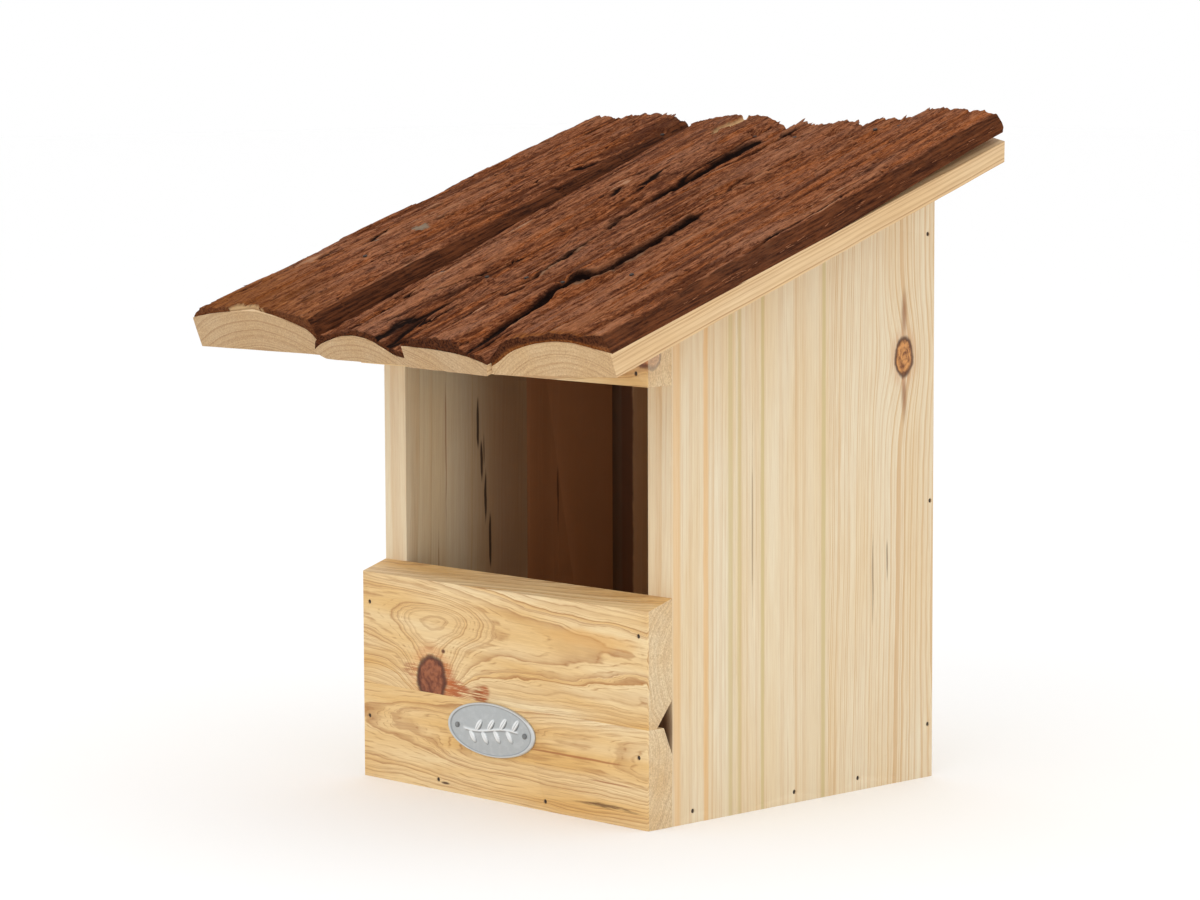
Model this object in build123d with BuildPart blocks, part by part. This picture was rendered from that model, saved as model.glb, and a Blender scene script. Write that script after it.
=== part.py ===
from build123d import *
from math import cos, radians, sin, tan
import os

# An open-fronted nest box: a box of glued pine staves under a lean-to roof of four half-round
# slabs that keep their bark. X runs to the right seen from the front, Y to the back, Z up.
# The origin is the centre of the underside of the box, so the box stands on Z = 0.

# ---- Driving dimensions, millimetres and degrees ----------------------------------------------

board = 18                     # planed thickness of every board of the box
body_width = 232               # across the outer faces of the two sides
body_depth = 229               # from the front boards' face to the back
side_front_height = 279.4      # top of a side at its front edge
roof_slope = 18.65             # fall of the roof towards the front

front_joint_height = 54.3      # joint between the two front boards
sill_height = 123.4            # top of the front boards where they meet the sides
sill_bevel = 17.3              # fall of the sill towards the front
lintel_underside = 237
arris = 1.2                    # rounding of the outer edges
corner = 3                     # rounding of the rear and lower corners

right_side_joints = (48.5, 122.3)    # stave joints, from the front edge of the side
left_side_joints = (93.9, 163.5)
back_joints = (-33, 33)              # stave joints of the back, from the middle
floor_joint = 8                      # joint of the two floor boards, from the middle
inner_wane = (11, 18)                # missing inner arris of a left stave: depth, width

front_wane_upper = (11.8, 14.5)      # missing rear arris at the joint: depth, height
front_wane_lower = (6.3, 15.3)
wane_taper = 0.35                    # the wane's size at the left end, against the right

roof_half_width = 165.5
roof_eaves = 90.9              # how far the roof stands out before the sides
bark_set_back = 1              # the bark stops short of the sawn back end

nail_shank = 1.6
nail_head = 2.6
nail_head_thickness = 0.8
nail_sunk = 0.6
box_nail = 36
roof_nail = 48
roof_nail_lead = 4.5           # the roof's nails lean back, so they start before a board's middle

plate_width = 71
plate_height = 30
plate_thickness = 1.0
plate_rim = 1.6
plate_rim_rise = 0.5
plate_centre = (-7, 39.4)
plate_pin_spacing = 55
plate_pin = 3.2
plate_pin_rise = 0.6
plate_pin_length = 9

hanger_width = 56
hanger_height = 34
hanger_thickness = 2
hanger_corner = 5
hanger_centre_height = 296
keyhole_head = 10              # diameter of the round lower part
keyhole_slot = 5
keyhole_rise = 11              # from the head's centre to the slot's upper centre
pocket_depth = 9
pocket_clearance = 2
hanger_screw_spacing = 40
screw_shank = 3
screw_head = 6.4
screw_head_depth = 1.8
screw_length = 15

# ---- Places worked out from them ---------------------------------------------------------------

outer_x = body_width / 2
inner_x = outer_x - board
front_face = -body_depth / 2
side_front = front_face + board
back_face = body_depth / 2
back_inner = back_face - board
slope = radians(roof_slope)


def roof_height(y):
    """Height of the roof's underside above the base at depth y."""
    return side_front_height + (y - side_front) * tan(slope)


def export(piece, name):
    """Labels a finished sub-part and writes it."""
    piece.part.label = name
    export_step(piece.part, f"parts/{name}.step")


os.makedirs("parts", exist_ok=True)

# ---- Nails -------------------------------------------------------------------------------------


def nails(places, outward, length, hole=False):
    """Nails driven against outward at places on a surface, or the holes that they sit in."""
    mouth = 1 if hole else -nail_sunk
    with BuildPart() as group:
        for place in places:
            surface = Plane(origin=place, z_dir=outward)
            with BuildSketch(surface.offset(mouth)):
                Circle(nail_head / 2)
            extrude(amount=-(mouth + nail_sunk + nail_head_thickness))
            with BuildSketch(surface.offset(-nail_sunk - nail_head_thickness)):
                Circle(nail_shank / 2)
            extrude(amount=nail_head_thickness + nail_sunk - length)
    return group


# Hand-driven, so no two nails line up: x and z on the front, then depth behind the side's front
# edge and z on a side, where the first three go into the floor and the rest into the back.
front_nail_marks = [
    (-109.8, 100.8), (108.6, 104.1), (-110.7, 35.1), (108.7, 38.8), (35.7, 5.2), (-52, 5.8),
]
lintel_nail_marks = [(-107.2, 244.6), (107.2, 243.9)]
side_nail_marks = [(15.5, 6.5), (95, 6.1), (146.8, 7), (205.4, 30.4), (206.5, 158.4), (203.6, 309.4)]

front_nail_places = [(x, front_face, z) for x, z in front_nail_marks]
lintel_nail_places = [(x, front_face, z) for x, z in lintel_nail_marks]


def side_nail_places(side):
    """Where a side's nails go in: -1 for the left side, 1 for the right."""
    return [(side * outer_x, side_front + y, z) for y, z in side_nail_marks]


forward = (0, -1, 0)
front_holes = nails(front_nail_places, forward, box_nail, hole=True)
lintel_holes = nails(lintel_nail_places, forward, box_nail, hole=True)
left_holes = nails(side_nail_places(-1), (-1, 0, 0), box_nail, hole=True)
right_holes = nails(side_nail_places(1), (1, 0, 0), box_nail, hole=True)

export(nails(front_nail_places, forward, box_nail), "front_board_nails")
export(nails(lintel_nail_places, forward, box_nail), "lintel_nails")
export(nails(side_nail_places(-1), (-1, 0, 0), box_nail), "left_side_nails")
export(nails(side_nail_places(1), (1, 0, 0), box_nail), "right_side_nails")

# ---- Roof: slabs, bark and their nails -----------------------------------------------------------

# Along a slab, s is measured up the slope from the eaves line; n stands square to the slope.
up_slope = Vector(0, cos(slope), sin(slope))
roof_up = Vector(0, -sin(slope), cos(slope))
eaves_y = side_front - roof_eaves
eaves_origin = Vector(0, eaves_y, roof_height(eaves_y))
section_front = -15            # both end sections of a slab lie beyond its sawn ends
section_back = 345


def across_roof(s):
    """Plane square to the slope at s, with its own X to the right and Y up from the roof."""
    return Plane(origin=eaves_origin + up_slope * s, x_dir=(1, 0, 0), z_dir=-up_slope)


# Each slab: left and right edge, then the thickness at the left, the crown and the right, for the
# front and the back; how far the lower edges are waned away; where its front end is sawn at the
# left and at the right; and the thickness of its bark at the front and at the back.
slabs = {
    1: dict(front=(-roof_half_width, -62.5, 18, 23, 9.8), back=(-roof_half_width, -77.5, 15, 18, 11),
            undercut=(1, 4), sawn=(-2.3, -0.4), bark=(4.5, 5)),
    2: dict(front=(-61.5, 13.5, 5.5, 14.6, 3.8), back=(-76.5, 2, 9, 17, 10),
            undercut=(10, 1), sawn=(-4.8, -4.6), bark=(4.5, 5)),
    3: dict(front=(14.5, 81.5, 11.8, 11.2, 6), back=(3, 64, 11, 12, 9),
            undercut=(1, 2), sawn=(-6.2, -8.8), bark=(6, 6)),
    4: dict(front=(82.5, roof_half_width, 4.5, 18.6, 13), back=(65, roof_half_width, 11, 18.5, 11),
            undercut=(1, 0), sawn=(-6.2, 2.4), bark=(6.5, 8.5)),
}


def crown(outline, lift):
    """The slab's domed top as an arc, lifted by the bark's thickness or not."""
    left, right, left_thick, crown_thick, right_thick = outline
    return ThreePointArc(
        (left, left_thick + lift), ((left + right) / 2, crown_thick + lift), (right, right_thick + lift)
    )


def sawn_front(slab):
    """Plane of a slab's front end, facing out."""
    left_cut, right_cut = slab["sawn"]
    left, right = slab["front"][:2]
    start = eaves_origin + up_slope * left_cut + Vector(left, 0, 0)
    end = eaves_origin + up_slope * right_cut + Vector(right, 0, 0)
    return Plane(origin=start, x_dir=end - start, z_dir=(end - start).cross(roof_up))


ends = ((section_front, "front", 0), (section_back, "back", 1))
roof_nail_lines = {1: (-107, -84), 2: (-44, -8), 3: (24, 52), 4: (88, 107)}
roof_nail_depths = [face - board / 2 - roof_nail_lead for face in (side_front, back_face)]


def roof_surface(number, x, y):
    """The point on the bark's outer face above x, y."""
    slab = slabs[number]
    s = (y - eaves_y) / cos(slope)
    share = (s - section_front) / (section_back - section_front)
    front, back = slab["front"], slab["back"]
    left, right, left_thick, crown_thick, right_thick = (
        a + (b - a) * share for a, b in zip(front, back)
    )
    bark = slab["bark"][0] + (slab["bark"][1] - slab["bark"][0]) * share
    t = 2 * (x - left) / (right - left) - 1
    edge = (left_thick + right_thick) / 2 + (right_thick - left_thick) / 2 * t
    n = edge + (crown_thick - (left_thick + right_thick) / 2) * (1 - t * t) + bark
    return eaves_origin + up_slope * s + roof_up * n + Vector(x, 0, 0)


roof_nail_places = [
    roof_surface(number, x, y)
    for number, line in roof_nail_lines.items()
    for x in line
    for y in roof_nail_depths
]
roof_holes = nails(roof_nail_places, roof_up, roof_nail, hole=True)
export(nails(roof_nail_places, roof_up, roof_nail), "roof_nails")

for number, slab in slabs.items():
    front_end = sawn_front(slab)

    with BuildPart() as wood:
        for s, end, _ in ends:
            left, right, left_thick, crown_thick, right_thick = slab[end]
            left_under, right_under = slab["undercut"]
            with BuildSketch(across_roof(s)):
                with BuildLine():
                    Polyline(
                        (left, left_thick), (left + left_under, 0),
                        (right - right_under, 0), (right, right_thick),
                    )
                    crown(slab[end], 0)
                make_face()
        loft()
        split(bisect_by=front_end, keep=Keep.BOTTOM)
        split(bisect_by=Plane.XZ.offset(-back_face), keep=Keep.TOP)
        add(roof_holes.part, mode=Mode.SUBTRACT)
    export(wood, f"roof_slab_{number}")

    with BuildPart() as bark:
        for s, end, which in ends:
            left, right, left_thick, _, right_thick = slab[end]
            thick = slab["bark"][which]
            with BuildSketch(across_roof(s)):
                with BuildLine():
                    crown(slab[end], 0)
                    crown(slab[end], thick)
                    Line((left, left_thick), (left, left_thick + thick))
                    Line((right, right_thick), (right, right_thick + thick))
                make_face()
        loft()
        split(bisect_by=front_end, keep=Keep.BOTTOM)
        split(bisect_by=Plane.XZ.offset(bark_set_back - back_face), keep=Keep.TOP)
        add(roof_holes.part, mode=Mode.SUBTRACT)
    export(bark, f"roof_bark_{number}")

# ---- Sides: three upright staves each ------------------------------------------------------------

stave_places = ("front", "middle", "rear")
for side, name, joints, holes in (
    (-1, "left", left_side_joints, left_holes),
    (1, "right", right_side_joints, right_holes),
):
    edges_y = [side_front, *(side_front + joint for joint in joints), back_face]
    for place, start, end in zip(stave_places, edges_y, edges_y[1:]):
        with BuildPart() as stave:
            with BuildSketch(Plane.YZ.offset(side * inner_x)):
                with BuildLine():
                    Polyline(
                        (start, 0), (end, 0), (end, roof_height(end)), (start, roof_height(start)),
                        close=True,
                    )
                make_face()
            extrude(amount=side * board)
            outer_edges = stave.faces().sort_by(Axis.X)[-1 if side > 0 else 0].edges()
            if place == "rear":
                fillet(outer_edges.sort_by(Axis.Y)[-1], radius=corner)
            if name == "left" and place == "rear":
                wane_depth, wane_width = inner_wane
                with BuildSketch(Plane.XY):
                    with BuildLine():
                        Polyline(
                            (-inner_x, start), (-inner_x - wane_depth, start),
                            (-inner_x, start + wane_width), close=True,
                        )
                    make_face()
                extrude(amount=roof_height(back_face), mode=Mode.SUBTRACT)
            for group in (holes, front_holes, lintel_holes, roof_holes):
                add(group.part, mode=Mode.SUBTRACT)
        export(stave, f"{name}_side_{place}_stave")

# ---- Hanger: a steel plate with a keyhole, let into the back ---------------------------------------

# Plane on the back, facing into the board.
hanger_face = Plane(origin=(0, back_face, hanger_centre_height), x_dir=(1, 0, 0), z_dir=(0, -1, 0))
screw_places = [
    (side * hanger_screw_spacing / 2, back_face, hanger_centre_height) for side in (-1, 1)
]

with BuildPart() as screws:
    for place in screw_places:
        rear = Plane(origin=place, z_dir=(0, 1, 0))
        with BuildSketch(rear):
            Circle(screw_head / 2)
        with BuildSketch(rear.offset(-screw_head_depth)):
            Circle(screw_shank / 2)
        loft()
        with BuildSketch(rear.offset(-screw_head_depth)):
            Circle(screw_shank / 2)
        extrude(amount=screw_head_depth - screw_length)

with BuildPart() as hanger:
    with BuildSketch(hanger_face):
        RectangleRounded(hanger_width, hanger_height, hanger_corner)
    extrude(amount=hanger_thickness)
    with BuildSketch(hanger_face):
        Rectangle(keyhole_slot, keyhole_rise)
        with Locations((0, -keyhole_rise / 2)):
            Circle(keyhole_head / 2)
        with Locations((0, keyhole_rise / 2)):
            Circle(keyhole_slot / 2)
    extrude(amount=hanger_thickness, mode=Mode.SUBTRACT)
    add(screws.part, mode=Mode.SUBTRACT)
export(hanger, "hanger_plate")

# ---- Back: three upright staves between the sides --------------------------------------------------

back_edges = [-inner_x, *back_joints, inner_x]
for place, start, end in zip(("left", "middle", "right"), back_edges, back_edges[1:]):
    with BuildPart() as stave:
        with BuildSketch(Plane.YZ.offset(start)):
            with BuildLine():
                Polyline(
                    (back_inner, 0), (back_face, 0),
                    (back_face, roof_height(back_face)), (back_inner, roof_height(back_inner)),
                    close=True,
                )
            make_face()
        extrude(amount=end - start)
        if place == "middle":
            with BuildSketch(hanger_face):
                RectangleRounded(hanger_width, hanger_height, hanger_corner)
            extrude(amount=hanger_thickness, mode=Mode.SUBTRACT)
            with BuildSketch(hanger_face):
                SlotOverall(
                    keyhole_head + keyhole_rise + 2 * pocket_clearance,
                    keyhole_head + 2 * pocket_clearance, rotation=90,
                )
            extrude(amount=pocket_depth, mode=Mode.SUBTRACT)
            add(screws.part, mode=Mode.SUBTRACT)
        for group in (left_holes, right_holes, roof_holes):
            add(group.part, mode=Mode.SUBTRACT)
    export(stave, f"back_{place}_stave")
export(screws, "hanger_screws")

# ---- Floor: two boards between the sides, before the back -------------------------------------------

for place, start, end in (
    ("front", side_front, floor_joint), ("rear", floor_joint, back_inner),
):
    with BuildPart() as floor_board:
        with BuildSketch(Plane.XY):
            with Locations((0, (start + end) / 2)):
                Rectangle(2 * inner_x, end - start)
        extrude(amount=board)
        for group in (left_holes, right_holes, front_holes):
            add(group.part, mode=Mode.SUBTRACT)
    export(floor_board, f"floor_{place}_board")

# ---- Front boards, with natural wane left along their joint ------------------------------------------

sill_front_height = sill_height - board * tan(radians(sill_bevel))


def wane_wedge(wane, upwards):
    """What is missing from the rear arris at the joint: whole at the right, less towards the left."""
    depth, height = wane
    with BuildPart() as wedge:
        for x, share in ((-outer_x, wane_taper), (outer_x, 1)):
            with BuildSketch(Plane.YZ.offset(x)):
                with BuildLine():
                    Polyline(
                        (side_front - depth * share, front_joint_height),
                        (side_front, front_joint_height),
                        (side_front, front_joint_height + upwards * height * share),
                        close=True,
                    )
                make_face()
        loft()
    return wedge


upper_wane = wane_wedge(front_wane_upper, 1)
lower_wane = wane_wedge(front_wane_lower, -1)

with BuildPart() as upper_board:
    with BuildSketch(Plane.YZ.offset(-outer_x)):
        with BuildLine():
            Polyline(
                (front_face, front_joint_height), (side_front, front_joint_height),
                (side_front, sill_height), (front_face, sill_front_height), close=True,
            )
        make_face()
    extrude(amount=body_width)
    front_edges = upper_board.faces().sort_by(Axis.Y)[0].edges()
    fillet(front_edges.filter_by(Axis.Z), radius=arris)
    for group in (upper_wane, front_holes):
        add(group.part, mode=Mode.SUBTRACT)
export(upper_board, "front_upper_board")

plate_x, plate_z = plate_centre
front_at_plate = Plane(origin=(plate_x, front_face, plate_z), x_dir=(1, 0, 0), z_dir=(0, -1, 0))

with BuildPart() as pins:
    for side in (-1, 1):
        with BuildSketch(front_at_plate.offset(plate_thickness)):
            with Locations((side * plate_pin_spacing / 2, 0)):
                Circle(plate_pin / 2)
        extrude(amount=plate_pin_rise)
        with BuildSketch(front_at_plate.offset(plate_thickness)):
            with Locations((side * plate_pin_spacing / 2, 0)):
                Circle(nail_shank / 2)
        extrude(amount=-plate_pin_length)

with BuildPart() as lower_board:
    with BuildSketch(Plane.YZ.offset(-outer_x)):
        with BuildLine():
            Polyline(
                (front_face, 0), (side_front, 0),
                (side_front, front_joint_height), (front_face, front_joint_height), close=True,
            )
        make_face()
    extrude(amount=body_width)
    front_edges = lower_board.faces().sort_by(Axis.Y)[0].edges()
    fillet(front_edges.filter_by(Axis.Z), radius=arris)
    for group in (lower_wane, front_holes, pins):
        add(group.part, mode=Mode.SUBTRACT)
export(lower_board, "front_lower_board")

with BuildPart() as name_plate:
    with BuildSketch(front_at_plate):
        Ellipse(plate_width / 2, plate_height / 2)
    extrude(amount=plate_thickness)
    with BuildSketch(front_at_plate.offset(plate_thickness)):
        Ellipse(plate_width / 2, plate_height / 2)
        Ellipse(plate_width / 2 - plate_rim, plate_height / 2 - plate_rim, mode=Mode.SUBTRACT)
    extrude(amount=plate_rim_rise)
    add(pins.part, mode=Mode.SUBTRACT)
export(name_plate, "name_plate")
export(pins, "name_plate_pins")

# ---- Lintel under the roof, across the top of the opening ---------------------------------------------

with BuildPart() as lintel:
    with BuildSketch(Plane.YZ.offset(-outer_x)):
        with BuildLine():
            Polyline(
                (front_face, lintel_underside), (side_front, lintel_underside),
                (side_front, roof_height(side_front)), (front_face, roof_height(front_face)),
                close=True,
            )
        make_face()
    extrude(amount=body_width)
    front_edges = lintel.faces().sort_by(Axis.Y)[0].edges()
    fillet(front_edges.filter_by(Axis.Z), radius=arris)
    for group in (lintel_holes, roof_holes):
        add(group.part, mode=Mode.SUBTRACT)
export(lintel, "lintel_board")
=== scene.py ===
import math
import random

import bmesh
import bpy
import numpy as np
from bpy.props import FloatProperty, FloatVectorProperty, IntProperty, PointerProperty
from mathutils import Matrix, Vector


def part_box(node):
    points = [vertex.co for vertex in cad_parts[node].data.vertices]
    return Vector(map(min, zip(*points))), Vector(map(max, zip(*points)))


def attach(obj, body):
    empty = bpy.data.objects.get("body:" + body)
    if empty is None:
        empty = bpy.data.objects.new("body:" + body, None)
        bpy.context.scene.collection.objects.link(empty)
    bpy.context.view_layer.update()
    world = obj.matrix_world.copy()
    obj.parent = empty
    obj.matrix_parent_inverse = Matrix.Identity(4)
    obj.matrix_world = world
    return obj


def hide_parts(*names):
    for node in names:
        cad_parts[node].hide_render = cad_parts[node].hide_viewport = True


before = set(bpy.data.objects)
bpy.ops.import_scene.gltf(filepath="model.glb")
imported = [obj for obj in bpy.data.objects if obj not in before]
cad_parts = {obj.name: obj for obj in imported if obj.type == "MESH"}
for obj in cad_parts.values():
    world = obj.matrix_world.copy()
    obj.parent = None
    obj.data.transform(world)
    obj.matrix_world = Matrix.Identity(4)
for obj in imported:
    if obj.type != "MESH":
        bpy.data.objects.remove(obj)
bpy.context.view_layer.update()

bl_info = {
    "name": "Bark Roof Birdhouse",
    "version": (1, 0, 0),
    "blender": (4, 5, 0),
    "location": "3D Viewport > Sidebar > Birdhouse",
    "description": "Builds an open-fronted pine birdhouse with a bark slab roof around its CAD frame",
    "category": "Add Mesh",
}

# Lengths below are in millimetres unless a name ends in _m. Meshes are made in metres.
MM = 0.001

# The roof's own frame: x across, s up the slope from the eaves, n square to the slope.
ROOF_SLOPE = math.radians(18.65)
EAVES_OVERHANG = 90.9
WALL_LOW, WALL_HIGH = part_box("right_side_front_stave")
BACK_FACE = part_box("back_middle_stave")[1].y / MM
WALL_TOP = WALL_HIGH.z / MM - (WALL_HIGH.y - WALL_LOW.y) / MM * math.tan(ROOF_SLOPE)
EAVES = np.array((0.0, WALL_LOW.y / MM - EAVES_OVERHANG, WALL_TOP - EAVES_OVERHANG * math.tan(ROOF_SLOPE)))
UP_SLOPE = np.array((0.0, math.cos(ROOF_SLOPE), math.sin(ROOF_SLOPE)))
ROOF_UP = np.array((0.0, -math.sin(ROOF_SLOPE), math.cos(ROOF_SLOPE)))
ROOF_RUN = (BACK_FACE - EAVES[1]) / math.cos(ROOF_SLOPE)


def colour(red, green, blue):
    """A colour for a shader from the 0 to 255 values that a screen shows."""
    linear = [(v / 255) / 12.92 if v <= 10 else ((v / 255 + 0.055) / 1.055) ** 2.4 for v in (red, green, blue)]
    return (*linear, 1.0)


# ---- Repeatable noise --------------------------------------------------------------------------

def lattice(ix, iy, seed):
    """Repeatable random numbers from 0 to 1 for whole-number grid points."""
    h = (ix * 374761393 + iy * 668265263 + seed * 362437) & 0xFFFFFFFF
    h = ((h ^ (h >> 13)) * 1274126177) & 0xFFFFFFFF
    return ((h ^ (h >> 16)) & 0xFFFF) / 65535.0


def noise(x, y, seed):
    """Smooth noise from -1 to 1 on a plane."""
    x0, y0 = np.floor(x).astype(np.int64), np.floor(y).astype(np.int64)
    fx, fy = x - x0, y - y0
    fx, fy = fx * fx * (3 - 2 * fx), fy * fy * (3 - 2 * fy)
    low = lattice(x0, y0, seed) * (1 - fx) + lattice(x0 + 1, y0, seed) * fx
    high = lattice(x0, y0 + 1, seed) * (1 - fx) + lattice(x0 + 1, y0 + 1, seed) * fx
    return 2 * (low * (1 - fy) + high * fy) - 1


def fractal(x, y, seed, octaves=3):
    """Noise with finer and fainter copies of itself added, from about -1 to 1."""
    total, share = 0.0, 0.55
    for octave in range(octaves):
        total = total + share * noise(x * 2 ** octave + 7.3 * octave, y * 2 ** octave, seed + 11 * octave)
        share *= 0.52
    return total


def cells(x, y, seed):
    """The nearest of some scattered points: its random value, and by how much it is nearer than the next."""
    x0, y0 = np.floor(x).astype(np.int64), np.floor(y).astype(np.int64)
    best, second, value = np.full(x.shape, 9.0), np.full(x.shape, 9.0), np.zeros(x.shape)
    for ix, iy in ((x0 + dx, y0 + dy) for dx in (-1, 0, 1) for dy in (-1, 0, 1)):
        away = np.hypot(ix + lattice(ix, iy, seed) - x, iy + lattice(ix, iy, seed + 1) - y)
        nearer = away < best
        second = np.where(nearer, best, np.minimum(second, away))
        value = np.where(nearer, lattice(ix, iy, seed + 2), value)
        best = np.where(nearer, away, best)
    return value, second - best


def smooth_step(low, high, value):
    """0 below low, 1 above high and an even S between them."""
    t = np.clip((value - low) / (high - low), 0, 1)
    return t * t * (3 - 2 * t)


def curve_through(points, x):
    """Heights at x on a smooth curve through (x, height) points."""
    px, py = np.array(points, float).T
    slope = np.gradient(py, px)
    i = np.clip(np.searchsorted(px, x) - 1, 0, len(px) - 2)
    span = px[i + 1] - px[i]
    t = np.clip((x - px[i]) / span, 0, 1)
    a, b = py[i], py[i + 1]
    rise_a, rise_b = slope[i] * span, slope[i + 1] * span
    return (a * (1 + 2 * t) * (1 - t) ** 2 + rise_a * t * (1 - t) ** 2
            + b * t * t * (3 - 2 * t) + rise_b * t * t * (t - 1))


# ---- Meshes ------------------------------------------------------------------------------------

def on_roof(x, s, n):
    """Points in metres for places in the roof's own frame."""
    p = EAVES + np.multiply.outer(s, UP_SLOPE) + np.multiply.outer(n, ROOF_UP)
    p[..., 0] = x
    return p * MM


def add_object(name, mesh, material, replaced=()):
    """Links a finished mesh as a piece of the object that rides on the one body."""
    piece = bpy.data.objects.new(name, mesh)
    bpy.context.scene.collection.objects.link(piece)
    mesh.materials.clear()
    mesh.materials.append(material)
    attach(piece, "root")
    if replaced:
        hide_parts(*replaced)
    return piece


def smooth_by_angle(mesh, degrees):
    """Smooth shading that keeps edges sharper than an angle crisp."""
    mesh.shade_smooth()
    mesh.set_sharp_from_angle(angle=math.radians(degrees))


def add_values(mesh, values):
    """Stores named point values on a mesh, for its material to read."""
    for label, value in values.items():
        mesh.attributes.new(label, "FLOAT", "POINT").data.foreach_set("value", np.asarray(value, np.float32))


def block_faces(counts):
    """The shell of a block of cells: the shell's (u, v, w) shares and its outward quads."""
    i, j, k = np.meshgrid(*(np.arange(c + 1) for c in counts), indexing="ij")
    nu, nv, nw = counts
    shell = (i == 0) | (i == nu) | (j == 0) | (j == nv) | (k == 0) | (k == nw)
    number = np.full(shell.shape, -1)
    number[shell] = np.arange(shell.sum())
    faces = []
    for axis in range(3):
        for end in (0, -1):
            side = np.take(number, end, axis=axis)
            quads = np.stack([side[:-1, :-1], side[1:, :-1], side[1:, 1:], side[:-1, 1:]], -1).reshape(-1, 4)
            faces.append(quads[:, ::-1] if (end == 0) != (axis == 1) else quads)
    return i[shell] / nu, j[shell] / nv, k[shell] / nw, np.concatenate(faces)


def on_disc(u, v):
    """Shares from 0 to 1 across a square, spread over a disc of radius 1."""
    a, b = 2 * u - 1, 2 * v - 1
    return a * np.sqrt(1 - b * b / 2), b * np.sqrt(1 - a * a / 2)


def block_mesh(name, counts, place, crisp=40):
    """A closed mesh over a block of cells. place turns (u, v, w) into points and named point values."""
    u, v, w, faces = block_faces(counts)
    points, values = place(u, v, w)
    mesh = bpy.data.meshes.new(name)
    mesh.from_pydata(points.tolist(), [], faces.tolist())
    add_values(mesh, values)
    smooth_by_angle(mesh, crisp)
    return mesh


def finished_copy(node, arris, segments=2, crisp=30):
    """A copy of a CAD node's mesh with its faces joined up and its sharp edges eased."""
    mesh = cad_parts[node].data.copy()
    mesh.name = node + "_finished"
    work = bmesh.new()
    work.from_mesh(mesh)
    bmesh.ops.remove_doubles(work, verts=work.verts, dist=2e-6)
    bmesh.ops.dissolve_limit(work, angle_limit=math.radians(1), verts=work.verts, edges=work.edges)
    sharp = [e for e in work.edges if len(e.link_faces) == 2 and e.calc_face_angle() > math.radians(crisp)]
    bmesh.ops.bevel(work, geom=sharp, offset=arris * MM, segments=segments, profile=0.5,
                    affect="EDGES", clamp_overlap=True)
    clean = bpy.data.meshes.new(mesh.name)
    work.to_mesh(clean)
    work.free()
    bpy.data.meshes.remove(mesh)
    smooth_by_angle(clean, crisp)
    return clean


# ---- Shader building ---------------------------------------------------------------------------

class Graph:
    """Adds nodes to one node tree. Each call feeds a node and returns one of its outputs."""

    def __init__(self, tree):
        self.tree = tree

    def feed(self, socket, value):
        if isinstance(value, bpy.types.NodeSocket):
            self.tree.links.new(value, socket)
        else:
            socket.default_value = value

    def add(self, kind, inputs, out=0, **settings):
        node = self.tree.nodes.new("ShaderNode" + kind)
        for name, value in settings.items():
            setattr(node, name, value)
        for key, value in inputs.items():
            self.feed(node.inputs[key], value)
        return node.outputs[out]

    def math(self, operation, *values):
        return self.add("Math", dict(enumerate(values)), operation=operation)

    def plus(self, a, b):
        return self.math("ADD", a, b)

    def minus(self, a, b):
        return self.math("SUBTRACT", a, b)

    def times(self, a, b):
        return self.math("MULTIPLY", a, b)

    def vector(self, operation, *values, out=0):
        return self.add("VectorMath", dict(enumerate(values)), out, operation=operation)

    def scaled(self, vector, factor):
        return self.add("VectorMath", {0: vector, "Scale": factor}, operation="SCALE")

    def noise(self, vector, scale, detail=2.0, rough=0.5):
        return self.add("TexNoise", {"Vector": vector, "Scale": scale, "Detail": detail, "Roughness": rough})

    def fit(self, value, low, high, to_low=0.0, to_high=1.0, kind="LINEAR"):
        inputs = {"Value": value, "From Min": low, "From Max": high, "To Min": to_low, "To Max": to_high}
        return self.add("MapRange", inputs, interpolation_type=kind)

    def mix(self, share, a, b, blend="MIX"):
        return self.add("Mix", {0: share, 6: a, 7: b}, 2, data_type="RGBA", blend_type=blend)

    def group(self, name, inputs):
        """Adds one of the shared effects, built the first time that it's asked for."""
        node = self.tree.nodes.new("ShaderNodeGroup")
        node.node_tree = bpy.data.node_groups.get(name) or GROUPS[name](name)
        for key, value in inputs.items():
            self.feed(node.inputs[key], value)
        return node.outputs

    def attribute(self, name):
        return self.add("Attribute", {}, "Fac", attribute_name=name)


def new_group(name, inputs, outputs):
    """A shader node group with sockets named in (name, kind, default) rows, and its graph and ends."""
    tree = bpy.data.node_groups.new(name, "ShaderNodeTree")
    for label, kind, default in inputs:
        socket = tree.interface.new_socket(label, in_out="INPUT", socket_type="NodeSocket" + kind)
        socket.default_value = default
    for label, kind in outputs:
        tree.interface.new_socket(label, in_out="OUTPUT", socket_type="NodeSocket" + kind)
    entry, leave = tree.nodes.new("NodeGroupInput"), tree.nodes.new("NodeGroupOutput")
    return tree, Graph(tree), entry.outputs, leave.inputs


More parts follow.
